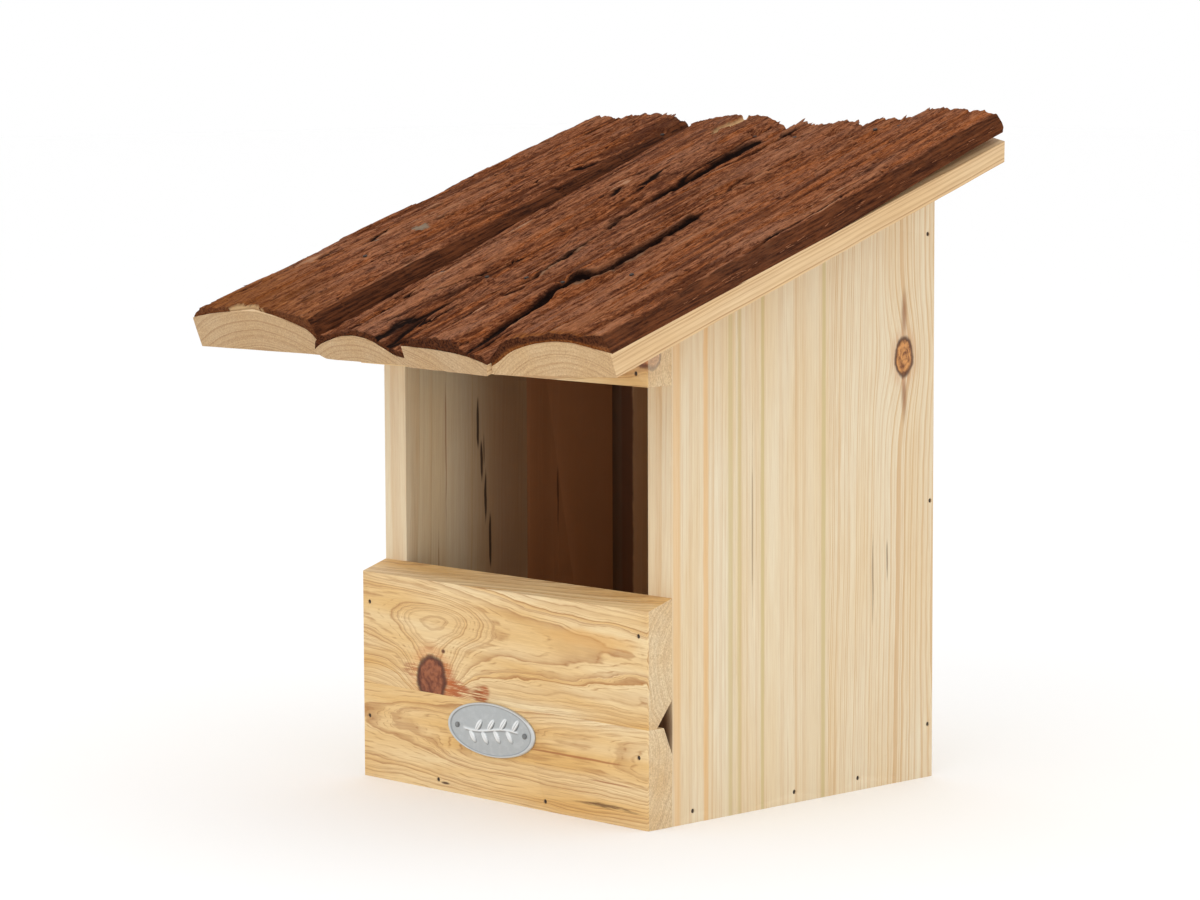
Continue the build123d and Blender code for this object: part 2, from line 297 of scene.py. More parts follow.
def rings_group(name):
    """Growth rings round a pith line: distance from it in ring widths, with late wood dark and sharp-edged."""
    tree, g, given, result = new_group(
        name,
        [("Position", "Vector", (0, 0, 0)), ("Pith", "Vector", (0, 0, 0)), ("Grain", "Vector", (0, 0, 1)),
         ("Spacing", "Float", 2.5), ("Wander", "Float", 2.0), ("Lift", "Float", 0.0), ("Seed", "Float", 0.0)],
        [("Late Wood", "Float"), ("Ring Tone", "Float"), ("Fibre", "Float"), ("Broad", "Float"), ("Fine", "Float")],
    )
    q = g.vector("SUBTRACT", given["Position"], given["Pith"])
    along = g.vector("DOT_PRODUCT", q, given["Grain"], out="Value")
    across = g.vector("SUBTRACT", q, g.scaled(given["Grain"], along))
    shift = g.add("CombineXYZ", {0: given["Seed"], 1: g.times(given["Seed"], 1.7), 2: 3.1})

    def stretched(share):
        return g.vector("ADD", g.vector("ADD", across, g.scaled(given["Grain"], g.times(along, share))),
                        g.scaled(shift, 37.0))

    slow = g.minus(g.noise(stretched(0.22), 0.03, 1.5), 0.5)
    quick = g.minus(g.noise(stretched(0.12), 0.14, 2.0), 0.5)
    radius = g.vector("LENGTH", across, out="Value")
    ripple = g.minus(g.noise(stretched(0.4), 0.11, 3.0), 0.5)
    bend = g.plus(g.times(slow, 3.0), g.times(quick, 0.6))
    bend = g.times(given["Wander"], g.plus(bend, g.times(ripple, 0.55)))
    radius = g.plus(g.plus(radius, bend), given["Lift"])
    turns = g.math("DIVIDE", radius, given["Spacing"])
    uneven = g.add("TexNoise", {"W": g.plus(turns, given["Seed"]), "Scale": 0.45, "Detail": 1.0},
                   noise_dimensions="1D")
    turns = g.plus(turns, g.times(g.minus(uneven, 0.5), 2.2))
    ring = g.math("FLOOR", turns)
    share = g.math("FRACT", turns)
    tone = g.add("TexWhiteNoise", {"W": g.plus(ring, given["Seed"])}, "Value", noise_dimensions="1D")
    rise = g.fit(share, 0.35, 0.9, kind="SMOOTHSTEP")
    fall = g.fit(share, 0.9, 1.0, 1.0, 0.0, kind="SMOOTHSTEP")
    late = g.times(g.times(rise, fall), g.fit(tone, 0.0, 1.0, 0.25, 1.0))
    g.feed(result["Late Wood"], late)
    g.feed(result["Ring Tone"], tone)
    g.feed(result["Fibre"], g.noise(stretched(0.03), 1.3, 3.0, 0.6))
    g.feed(result["Broad"], g.noise(stretched(0.12), 0.045, 2.0))
    line = g.math("PINGPONG", g.plus(g.times(turns, 3.3), g.times(uneven, 2.0)), 0.5)
    broken = g.fit(g.noise(stretched(0.05), 0.6, 3.0), 0.4, 0.6)
    g.feed(result["Fine"], g.times(g.fit(line, 0.3, 0.5, kind="SMOOTHSTEP"), broken))
    return tree


def knot_group(name):
    """A branch cut across: a ringed core, its dark skin, and how far it pushes the growth rings aside."""
    tree, g, given, result = new_group(
        name,
        [("Position", "Vector", (0, 0, 0)), ("Centre", "Vector", (0, 0, 0)), ("Half Size", "Vector", (10, 10, 10)),
         ("Reach", "Float", 2.0), ("Push", "Float", 8.0), ("Seed", "Float", 0.0)],
        [("Core", "Float"), ("Skin", "Float"), ("Halo", "Float"), ("Lift", "Float"), ("Rings", "Float")],
    )
    q = g.vector("SUBTRACT", given["Position"], given["Centre"])
    ragged = g.minus(g.noise(g.scaled(g.vector("ADD", q, g.add("CombineXYZ", {0: given["Seed"]})), 0.16),
                             1.0, 3.0), 0.5)
    distance = g.vector("LENGTH", g.vector("DIVIDE", q, given["Half Size"]), out="Value")
    edge = g.plus(distance, g.times(ragged, 0.35))
    g.feed(result["Core"], g.fit(edge, 0.86, 0.98, 1.0, 0.0, "SMOOTHSTEP"))
    skin = g.times(g.fit(edge, 0.72, 0.92, kind="SMOOTHSTEP"), g.fit(edge, 0.95, 1.16, 1.0, 0.0, "SMOOTHSTEP"))
    g.feed(result["Skin"], skin)
    g.feed(result["Halo"], g.fit(edge, 1.0, 1.9, 1.0, 0.0, "SMOOTHSTEP"))
    far = g.math("POWER", g.math("DIVIDE", distance, given["Reach"]), 2.0)
    fade = g.math("EXPONENT", g.times(far, -1.0))
    g.feed(result["Lift"], g.times(fade, given["Push"]))
    blotch = g.noise(g.vector("ADD", q, g.add("CombineXYZ", {1: given["Seed"]})), 0.28, 3.0, 0.6)
    turning = g.math("PINGPONG", g.plus(g.times(distance, 3.0), g.times(ragged, 3.0)), 0.5)
    g.feed(result["Rings"], g.plus(g.times(turning, 0.7), g.fit(blotch, 0.35, 0.65, -0.1, 0.4)))
    return tree


def streak_group(name):
    """A long mark with ragged edges, such as resin, a dark mark, a coloured band of grain or a painted shade band."""
    tree, g, given, result = new_group(
        name,
        [("Position", "Vector", (0, 0, 0)), ("Centre", "Vector", (0, 0, 0)), ("Half Size", "Vector", (1, 1, 1)),
         ("Ragged", "Float", 0.5), ("Softness", "Float", 0.5)],
        [("Mask", "Float")],
    )
    q = g.vector("SUBTRACT", given["Position"], given["Centre"])
    wave = g.add("TexNoise", {"Vector": given["Position"], "Scale": 0.05, "Detail": 3.0}, "Color")
    q = g.vector("ADD", q, g.scaled(g.vector("MULTIPLY", g.vector("SUBTRACT", wave, (0.5, 0.5, 0.5)),
                                             given["Half Size"]), given["Ragged"]))
    distance = g.vector("LENGTH", g.vector("DIVIDE", q, given["Half Size"]), out="Value")
    inner = g.minus(1.0, given["Softness"])
    g.feed(result["Mask"], g.fit(distance, inner, 1.0, 1.0, 0.0, "SMOOTHSTEP"))
    return tree


def dust_group(name):
    """Fine settled dust: strongest on faces that look up, broken up by noise."""
    tree, g, given, result = new_group(
        name, [("Position", "Vector", (0, 0, 0)), ("Amount", "Float", 0.3)], [("Mask", "Float")])
    normal = g.add("NewGeometry", {}, "Normal")
    upward = g.fit(g.add("SeparateXYZ", {0: normal}, "Z"), 0.2, 1.0)
    patches = g.fit(g.noise(given["Position"], 0.35, 5.0, 0.65), 0.4, 0.75)
    g.feed(result["Mask"], g.times(g.times(upward, patches), given["Amount"]))
    return tree


def end_grain_group(name):
    """Sawn ends: how squarely a face cuts across the grain, and the pores that show there."""
    tree, g, given, result = new_group(
        name, [("Position", "Vector", (0, 0, 0)), ("Grain", "Vector", (0, 0, 1))],
        [("Mask", "Float"), ("Pores", "Float")])
    normal = g.add("NewGeometry", {}, "Normal")
    square = g.math("ABSOLUTE", g.vector("DOT_PRODUCT", normal, given["Grain"], out="Value"))
    mask = g.fit(square, 0.75, 0.93)
    g.feed(result["Mask"], mask)
    saw = g.noise(given["Position"], 1.1, 4.0, 0.75)
    g.feed(result["Pores"], g.times(g.fit(saw, 0.35, 0.65), mask))
    return tree


GROUPS = {"Growth Rings": rings_group, "Knot": knot_group, "Streak": streak_group, "Settled Dust": dust_group,
          "End Grain": end_grain_group}


def new_material(name, base_rough=0.6):
    """A material with its Principled shader and a graph ready, and the position in millimetres."""
    material = bpy.data.materials.new(name)
    material.use_nodes = True
    g = Graph(material.node_tree)
    shader = material.node_tree.nodes["Principled BSDF"]
    shader.inputs["Roughness"].default_value = base_rough
    position = g.scaled(g.add("TexCoord", {}, "Object"), 1 / MM)
    return material, g, shader.inputs, position


def wood_material(name, look, pith, grain, spacing=2.6, wander=1.5, seed=0.0, knots=(), streaks=(), depth=1.0):
    """Bare planed softwood. knots and streaks are rows of named values; look holds its colours."""
    material, g, shader, position = new_material(name)
    grain = tuple(Vector(grain).normalized())
    lift = 0.0
    cut = []
    for row in knots:
        k = g.group("Knot", {"Position": position, "Centre": row["at"], "Half Size": row["half"],
                             "Reach": row.get("reach", 2.0), "Push": row.get("push", 8.0),
                             "Seed": row.get("seed", 0.0)})
        lift = g.plus(lift, k["Lift"])
        if row.get("core", True):
            cut.append((row, k))
    rings = g.group("Growth Rings", {"Position": position, "Pith": pith, "Grain": grain, "Spacing": spacing,
                              "Wander": wander, "Lift": lift, "Seed": seed})
    early = g.mix(g.fit(rings["Broad"], 0.35, 0.65), look["early"], look["warm"])
    early = g.mix(g.fit(rings["Ring Tone"], 0.45, 1.0, 0.0, look.get("bands", 0.35)), early, look["warm"])
    base = g.mix(g.times(rings["Late Wood"], look.get("contrast", 0.8)), early, look["late"])
    base = g.mix(g.times(rings["Fine"], look.get("fine", 0.25)), base, look["late"])
    fibre = g.fit(rings["Fibre"], 0.35, 0.7)
    base = g.mix(g.times(fibre, 0.2), base, look["late"], "MULTIPLY")
    bump_height = g.plus(g.times(rings["Late Wood"], 0.5), g.times(rings["Fibre"], 0.35))
    for row in streaks:
        mask = g.group("Streak", {"Position": position, "Centre": row["at"], "Half Size": row["half"],
                                  "Ragged": row.get("ragged", 0.6), "Softness": row.get("soft", 0.6)})["Mask"]
        mask = g.times(mask, row.get("amount", 0.7))
        if row.get("broken"):
            mask = g.times(mask, g.fit(rings["Fibre"], 0.4, 0.55, 1 - row["broken"], 1.0))
        base = g.mix(mask, base, row["colour"])
    for row, k in cut:
        halo = g.times(g.times(k["Halo"], 0.45), g.fit(rings["Fibre"], 0.3, 0.6))
        base = g.mix(halo, base, row.get("halo", colour(186, 120, 70)))
        core = g.mix(g.fit(k["Rings"], 0.1, 0.7), row["inner"], row["outer"])
        base = g.mix(k["Core"], base, core)
        base = g.mix(g.times(k["Skin"], 0.85), base, row["skin"])
        bump_height = g.minus(bump_height, g.times(k["Skin"], 0.8))
    ends = g.group("End Grain", {"Position": position, "Grain": grain})
    base = g.mix(g.times(ends["Mask"], 0.4), base, look.get("ends", colour(236, 219, 186)))
    base = g.mix(g.times(ends["Pores"], 0.42), base, colour(150, 118, 80), "MULTIPLY")
    dust = g.group("Settled Dust", {"Position": position, "Amount": 0.15})["Mask"]
    base = g.mix(dust, base, colour(222, 208, 180))
    g.feed(shader["Base Color"], base)
    g.feed(shader["Roughness"], g.fit(rings["Late Wood"], 0.0, 1.0, 0.62, 0.48))
    shader["Specular IOR Level"].default_value = 0.35
    g.feed(shader["Normal"], g.add("Bump", {"Height": bump_height, "Strength": 0.35 * depth, "Distance": 0.3 * MM}))
    return material


# ---- Settings ----------------------------------------------------------------------------------

def colour_property(name, description, value):
    return FloatVectorProperty(name=name, description=description, subtype="COLOR", size=4,
                               min=0.0, max=1.0, default=value)


class BirdhouseWoodSettings(bpy.types.PropertyGroup):
    arris: FloatProperty(name="Arris", description="Width of the sanded edge on every board", default=0.5 * MM,
                         min=0.1 * MM, max=2 * MM, unit="LENGTH")
    side_early: colour_property("Side early wood", "Pale spring wood of the side boards", colour(229, 215, 186))
    side_warm: colour_property("Side warm wood", "Warmer patches of the side boards", colour(226, 205, 168))
    side_late: colour_property("Side late wood", "Ring lines of the side boards", colour(204, 164, 114))
    front_early: colour_property("Front early wood", "Pale spring wood of the front boards", colour(241, 219, 174))
    front_warm: colour_property("Front warm wood", "Warmer patches of the front boards", colour(224, 182, 114))
    front_late: colour_property("Front late wood", "Ring lines of the front boards", colour(172, 118, 64))


class BirdhouseBarkSettings(bpy.types.PropertyGroup):
    seed: IntProperty(name="Seed", description="Changes the small cracks and flakes", default=5, min=0)
    relief: FloatProperty(name="Relief", description="Scale of the bark's surface detail", default=1.0,
                          min=0.0, max=3.0)
    body: colour_property("Bark", "Main colour of the bark plates", colour(148, 86, 54))
    # Ridge colour: rubbed fibres, also used as painted light on the high relief.
    light: colour_property("Ridge", "Rubbed high fibres", colour(202, 132, 88))
    # Crack colour: painted shade at the bottom of the cracks, seams and flake gaps.
    dark: colour_property("Crack", "Bottom of the cracks", colour(26, 12, 8))
    orange: colour_property("Inner bark", "Fresh inner bark", colour(188, 104, 50))
    grey: colour_property("Weathered", "Greyer weathered fibres", colour(160, 108, 82))


class BirdhousePlateSettings(bpy.types.PropertyGroup):
    rim: FloatProperty(name="Rim", description="Width of the plate's raised rim", default=1.2 * MM, unit="LENGTH")
    relief: FloatProperty(name="Relief", description="Height of the sprig", default=0.6 * MM, unit="LENGTH")
    metal: colour_property("Metal", "Colour of the plate", colour(184, 188, 189))


class BirdhouseStageSettings(bpy.types.PropertyGroup):
    lens: FloatProperty(name="Lens", description="Focal length of the camera in millimetres", default=119.831,
                        min=10.0, max=500.0)
    floor: colour_property("Floor", "Colour of the floor", colour(255, 255, 255))
    key: FloatProperty(name="Key light", description="Power of the large front light", default=5.5, min=0.0,
                       unit="POWER")
    world: FloatProperty(name="Surroundings", description="Brightness of the white surroundings", default=1.0, min=0.0)


class BirdhouseSettings(bpy.types.PropertyGroup):
    wood: PointerProperty(type=BirdhouseWoodSettings)
    bark: PointerProperty(type=BirdhouseBarkSettings)
    plate: PointerProperty(type=BirdhousePlateSettings)
    stage: PointerProperty(type=BirdhouseStageSettings)


# ---- Stage -------------------------------------------------------------------------------------

CAMERA_PLACE = Vector((1.60499, -1.58273, 0.42284))
CAMERA_RIGHT = Vector((0.69380621, 0.72015284, -0.00358217))
CAMERA_UP = Vector((-0.0724467, 0.07474341, 0.99456769))
CAMERA_FORWARD = Vector((-0.71650849, 0.68977773, -0.10403014))


class BIRDHOUSE_OT_stage(bpy.types.Operator):
    """Adds the camera, the pale floor and the soft studio light"""
    bl_idname = "birdhouse.stage"
    bl_label = "Stage"

    def execute(self, context):
        settings = context.scene.birdhouse.stage
        camera = bpy.data.cameras.new("camera")
        camera.lens = settings.lens
        camera.sensor_width = 36
        camera.clip_end = 20
        viewer = bpy.data.objects.new("camera", camera)
        context.scene.collection.objects.link(viewer)
        turn = Matrix((CAMERA_RIGHT, CAMERA_UP, -CAMERA_FORWARD)).transposed()
        viewer.matrix_world = Matrix.Translation(CAMERA_PLACE) @ turn.to_4x4()
        context.scene.camera = viewer

        material, g, shader, position = new_material("floor_paper", 0.9)
        tooth = g.noise(position, 0.2, 3.0)
        g.feed(shader["Base Color"], g.mix(g.fit(tooth, 0.3, 0.7, 0.0, 0.06), settings.floor, colour(252, 252, 252)))
        mesh = bpy.data.meshes.new("floor")
        reach_m = 12.0
        corners = [(x * reach_m, y * reach_m, 0) for x, y in ((-1, -1), (1, -1), (1, 1), (-1, 1))]
        mesh.from_pydata(corners, [], [(0, 1, 2, 3)])
        floor = bpy.data.objects.new("floor", mesh)
        mesh.materials.append(material)
        context.scene.collection.objects.link(floor)

        world = bpy.data.worlds.new("studio")
        world.use_nodes = True
        world.node_tree.nodes["Background"].inputs["Color"].default_value = (1, 1, 1, 1)
        world.node_tree.nodes["Background"].inputs["Strength"].default_value = settings.world
        context.scene.world = world
        context.scene.view_settings.view_transform = "Standard"

        centre = Vector((0, 0, 0.16))
        for name, direction, distance, size, power in (
            ("key_light", (0.25, -1.0, 0.75), 2.2, 1.6, settings.key),
            ("side_light", (1.0, -0.15, 0.45), 2.2, 1.4, settings.key * 0.55),
        ):
            lamp = bpy.data.lights.new(name, "AREA")
            lamp.energy, lamp.size = power, size
            holder = bpy.data.objects.new(name, lamp)
            holder.location = centre + Vector(direction).normalized() * distance
            holder.rotation_euler = (centre - holder.location).to_track_quat("-Z", "Y").to_euler()
            context.scene.collection.objects.link(holder)
        return {"FINISHED"}


# ---- Boards ------------------------------------------------------------------------------------

class BIRDHOUSE_OT_walls(bpy.types.Operator):
    """Adds the glued staves of the sides and back, and the floor boards"""
    bl_idname = "birdhouse.walls"
    bl_label = "Sides, back and floor"

    def execute(self, context):
        wood = context.scene.birdhouse.wood
        side = {"early": tuple(wood.side_early), "warm": tuple(wood.side_warm), "late": tuple(wood.side_late)}
        upright = (0, 0, 1)
        olive, amber, dark = colour(200, 180, 126), colour(224, 174, 108), colour(96, 66, 44)
        knot = {"at": (116, 87.4, 241.3), "half": (40, 7.5, 11), "reach": 2.6, "push": 9.0, "seed": 3.0,
                "inner": colour(208, 146, 84), "outer": colour(112, 62, 30), "skin": colour(74, 40, 20)}
        shade, deep, pitch = colour(138, 88, 50), colour(96, 50, 26), colour(44, 24, 14)
        resin = [dict(at=(-98, y, z), half=(4, 1.2, 17), colour=pitch, ragged=1.2, amount=0.9, soft=0.4)
                 for y, z in ((-41, 201), (-38.5, 178), (-35.5, 154), (-32, 128))]
        flare = [dict(at=(116, 87.4, z), half=(9, 3.4, 19), colour=colour(142, 88, 46), ragged=0.6, amount=0.75,
                      soft=0.9) for z in (264, 219)]

        def line(y, half_width, tint, ragged, amount, z=150):
            """A line of colour up the whole outer face of the right side."""
            return dict(at=(116, y, z), half=(9, half_width, 400), colour=tint, ragged=ragged, amount=amount)

        def painted_shade_band(y, half_width, tint, ragged, soft, amount):
            """Painted shade: a darker stretch up the whole inner face of the left side, where the inside lies in
            shadow.
            """
            return dict(at=(-98, y, 150), half=(5, half_width, 500), colour=tint, ragged=ragged, soft=soft,
                        amount=amount)

        boards = {
            "right_side_front_stave": dict(
                pith=(60, -190, 0), grain=(0.004, 0.003, 1), spacing=5.5, wander=0.8, seed=1.0,
                streaks=[line(-71, 2.6, amber, 0.6, 0.55),
                         # Painted shade: dark brown on the stave's front face inside the notch of the front boards,
                         # where it lies in shadow.
                         dict(at=(106, -97, 53), half=(19, 1.3, 27), colour=colour(96, 56, 30), ragged=0.1, amount=0.9),
                         line(-93, 4, amber, 0.3, 0.45, z=170),
                         line(-52, 2.6, olive, 0.2, 0.6)]),
            "right_side_middle_stave": dict(
                pith=(20, 190, 0), grain=(0.002, -0.002, 1), spacing=9.0, wander=0.6, seed=2.0,
                streaks=[line(-45, 2.2, olive, 0.3, 0.55),
                         line(-27, 2.0, olive, 0.3, 0.75),
                         dict(at=(116, -35, 160), half=(5, 0.7, 60), colour=dark, ragged=1.0, amount=0.5),
                         line(21.5, 2.4, olive, 0.2, 0.75)]),
            "right_side_rear_stave": dict(
                pith=(100, 115, 0), grain=(0.01, 0.02, 1), spacing=2.6, wander=1.8, seed=3.0, knots=[knot],
                streaks=[*flare, dict(at=(116, 62, 120), half=(5, 1.0, 30), colour=dark, ragged=1.5, amount=0.5),
                         dict(at=(116, 74, 128), half=(5, 0.9, 14), colour=dark, ragged=1.5, amount=0.6)]),
            "left_side_front_stave": dict(
                pith=(-60, -150, 0), grain=(0.002, 0.02, 1), spacing=5.0, wander=1.4, seed=4.0,
                streaks=[painted_shade_band(-14, 60, shade, 0.1, 0.95, 0.78), *resin,
                         dict(at=(-98, -36.5, 184), half=(4, 0.6, 14), colour=pitch, ragged=1.0, amount=0.8),
                         dict(at=(-98, -66, 190), half=(4, 0.7, 60), colour=colour(160, 96, 60), ragged=1.5,
                              amount=0.6),
                         dict(at=(-98, -72, 110), half=(4, 0.7, 50), colour=colour(160, 96, 60), ragged=1.5,
                              amount=0.5)]),
            "left_side_middle_stave": dict(
                pith=(-70, 45, 0), grain=(0.01, 0.01, 1), spacing=4.2, wander=1.6, seed=5.0,
                streaks=[painted_shade_band(32, 44, colour(160, 98, 54), 0.1, 0.2, 0.92),
                         painted_shade_band(8, 16, shade, 0.3, 0.9, 0.5),
                         dict(at=(-98, 22, 150), half=(4, 1.2, 26), colour=colour(60, 34, 20), ragged=1.5,
                              amount=0.7)]),
            "left_side_rear_stave": dict(
                pith=(-40, 190, 0), grain=(0, 0.01, 1), spacing=3.6, wander=1.0, seed=6.0,
                streaks=[painted_shade_band(88, 21.5, colour(190, 124, 72), 0.1, 0.2, 0.7),
                         dict(at=(-98, 76, 150), half=(14, 9.3, 400), colour=deep, ragged=0.2, soft=0.15,
                              amount=0.9)]),
            "back_left_stave": dict(pith=(-160, 60, 0), grain=(0.01, 0.01, 1), spacing=4.4, wander=1.2, seed=7.0),
            "back_middle_stave": dict(pith=(5, 60, 0), grain=(0.01, 0.05, 1), spacing=3.4, wander=2.0, seed=8.0),
            "back_right_stave": dict(pith=(150, 40, 0), grain=(0.0, 0.01, 1), spacing=4.8, wander=1.2, seed=9.0),
            "floor_front_board": dict(pith=(0, -40, -40), grain=(1, 0.02, 0.03), spacing=3.6, wander=1.6, seed=10.0),
            "floor_rear_board": dict(pith=(0, 70, 60), grain=(1, 0.02, 0.03), spacing=3.8, wander=1.6, seed=11.0),
        }
        for node, build in boards.items():
            grain = build.pop("grain", upright)
            pith = build.pop("pith")
            contrast, fine = 0.5, 0.35
            if node.startswith("left"):
                contrast, fine = 0.3, 0.15
            elif node == "right_side_rear_stave":
                contrast, fine = 0.85, 0.5
            own_look = {**side, "contrast": contrast, "fine": fine}
            material = wood_material("pine_" + node, own_look, pith, grain, **build)
            add_object(node + "_wood", finished_copy(node, 0.25), material, [node])
        return {"FINISHED"}


class BIRDHOUSE_OT_front(bpy.types.Operator):
    """Adds the two front boards and the lintel board"""
    bl_idname = "birdhouse.front"
    bl_label = "Front boards and lintel"

    def execute(self, context):
        wood = context.scene.birdhouse.wood
        look = {"early": tuple(wood.front_early), "warm": tuple(wood.front_warm), "late": tuple(wood.front_late),
                "contrast": 0.85, "bands": 0.75, "fine": 0.62}
        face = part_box("front_upper_board")[0].y / MM
        big_knot = {"at": (-57, face, 62.5), "half": (12, 40, 13), "reach": 1.9, "push": -15.0, "seed": 1.0,
                    "inner": colour(156, 92, 58), "outer": colour(104, 50, 28), "skin": colour(72, 32, 16),
                    "halo": colour(204, 122, 62)}
        swells = [{"at": (x, face, z), "half": half, "reach": 1.0, "push": push, "core": False}
                  for x, z, half, push in ((-66, 96, (34, 60, 15), -8.0), (-38, 97, (22, 60, 11), -6.0))]
        brown, red, dark = colour(156, 84, 38), colour(172, 86, 34), colour(70, 36, 18)
        # A darker brown patch over the wane face inside the notch at the right end of the board joint.
        notch_brown = dict(at=(110, face + 18, 55), half=(17, 7.5, 15), colour=colour(112, 66, 36), ragged=0.3, amount=0.9)
        boards = {
            "front_upper_board": dict(
                pith=(0, face + 42, 92), grain=(1, 0.045, -0.035), spacing=1.9, wander=3.4, seed=12.0,
                knots=[big_knot, *swells],
                streaks=[dict(at=(-48, face, 62), half=(15, 20, 15.5), colour=red, ragged=0.4, soft=0.5, amount=0.95,
                              broken=0.55),
                         dict(at=(-34, face, 58.5), half=(11, 12, 6.5), colour=red, ragged=1.0, soft=0.4, amount=0.9,
                              broken=1.0),
                         dict(at=(-19, face, 58.5), half=(12, 12, 7), colour=brown, ragged=1.6, amount=1.0,
                              broken=1.0),
                         dict(at=(-13, face, 59), half=(5, 12, 6), colour=red, ragged=1.0, amount=0.95, broken=0.8),
                         dict(at=(-76, face, 66), half=(10, 12, 4.5), colour=brown, ragged=1.5, amount=0.7,
                              broken=1.0),
                         dict(at=(-47, face, 79), half=(2.2, 3, 1.5), colour=dark, ragged=0.5, amount=0.95), notch_brown,
                         dict(at=(70, face, 98), half=(46, 12, 7), colour=colour(222, 168, 92), ragged=0.9,
                              amount=0.45)]),
            "front_lower_board": dict(
                pith=(0, face - 34, 34), grain=(1, 0.035, 0.02), spacing=2.2, wander=3.0, seed=13.0, bands=0.4,
                streaks=[dict(at=(-46, face, 4.5), half=(4.5, 4, 1.0), colour=dark, ragged=0.7, amount=0.9), notch_brown,
                         dict(at=(62, face, 33), half=(48, 5, 0.9), colour=brown, ragged=1.2, amount=0.7),
                         dict(at=(84, face, 22), half=(26, 5, 0.6), colour=brown, ragged=1.2, amount=0.6),
                         dict(at=(85, face, 9), half=(30, 5, 1.6), colour=dark, ragged=1.4, amount=0.75, broken=1.0)]),
            "lintel_board": dict(
                pith=(0, face + 50, 262), grain=(1, 0.02, 0.02), spacing=2.6, wander=1.6, seed=14.0,
                knots=[dict(at=(112, face + 4, 254), half=(40, 6, 8), reach=1.6, push=4.0, inner=colour(198, 142, 98),
                            outer=colour(146, 82, 48), skin=colour(96, 50, 30), halo=colour(204, 156, 108))]),
        }
        for node, build in boards.items():
            pith, grain = build.pop("pith"), build.pop("grain")
            own_look = {**look, "bands": build.pop("bands", look["bands"])}
            material = wood_material("pine_" + node, own_look, pith, grain, **build)
            add_object(node + "_wood", finished_copy(node, wood.arris / MM), material, [node])
        return {"FINISHED"}


# ---- Roof --------------------------------------------------------------------------------------

# Each slab has its left and right edges at the eaves and at the back, the sawn end's offset up the slope at
# its left and right, and its wood and bark heights across the width at both ends, as (x, n) points.
SLABS = {
    1: dict(edges=((-165.5, -62.05), (-165.5, -77.05)), sawn=(-2.3, -0.4), undercut=(1, 1), draft=(2.5, 7.0),
            wood=(((-165.5, 17.3), (-150, 20), (-130, 22.2), (-107, 23.2), (-96.7, 21.5), (-86, 19.1), (-76, 16.2),
                   (-68.6, 13), (-62.5, 6.5)),
                  ((-165.5, 15), (-140, 17), (-105, 18), (-85, 14), (-77.5, 11))),
            bark=(((-163, 21.4), (-150, 22.6), (-130, 24.1), (-107, 24.9), (-96, 23.8), (-86, 22.6), (-76, 21),
                   (-69.5, 19.4)),
                  ((-163, 20), (-150, 20.2), (-128, 21.6), (-103, 23), (-92, 22), (-84.5, 19)))),
    2: dict(edges=((-61.95, 13.95), (-76.95, 2.45)), sawn=(-4.8, -4.6), undercut=(9, 1), draft=(1.0, 1.0),
            wood=(((-61.5, 4.6), (-55.8, 7.9), (-47.6, 10.8), (-36.7, 13.8), (-28.1, 14.6), (-17.5, 13.7),
                   (-10.1, 11.5), (1.3, 5.9), (13.5, 3.6)),
                  ((-76.5, 9), (-60, 15), (-32, 19), (-10, 16.5), (2, 10))),
            bark=(((-61.5, 8.5), (-56, 12.2), (-48, 14.6), (-37, 16.4), (-28, 16.9), (-17, 16), (-10, 13.9), (1, 8.8),
                   (13.5, 6.5)),
                  ((-76.5, 17.5), (-68, 19.6), (-51, 21.9), (-32, 22.7), (-13, 21.4), (2, 16)))),
    3: dict(edges=((14.05, 81.95), (2.55, 64.45)), sawn=(-6.2, -8.8), undercut=(1, 2), draft=(0.6, 1.0),
            wood=(((14.5, 11.8), (46.7, 11.3), (69.5, 9), (81.5, 6)), ((3, 11), (33, 12.5), (64, 9))),
            bark=(((14.5, 16), (24, 17.2), (38, 17.6), (50, 17.4), (60, 16.2), (64, 12.5), (70, 12), (81.5, 8.5)),
                  ((3, 17), (17, 18.8), (27, 17.6), (39, 19.6), (52, 20.4), (64, 17.5)))),
    4: dict(edges=((82.05, 165.5), (64.55, 165.5)), sawn=(-6.2, 2.4), undercut=(1, 0), draft=(0.6, 5.0),
            wood=(((82.5, 4.4), (87.2, 6.5), (98, 12.5), (110.9, 16.4), (125.8, 18.6), (139.8, 18.4), (152.8, 15.7),
                   (165.5, 13)),
                  ((65, 11), (90, 16), (115, 18.5), (140, 16), (165.5, 10.9))),
            bark=(((83, 8.5), (88, 13), (94.5, 17.6), (110, 20.2), (126, 21.8), (140, 22), (152, 21.4), (160.5, 21)),
                  ((65.5, 18.5), (71, 21.2), (92, 22), (114, 27.2), (133, 27.8), (150, 27), (161, 26)))),
}
BARK_CELL, BARK_CELLS_ALONG = 0.66, 280
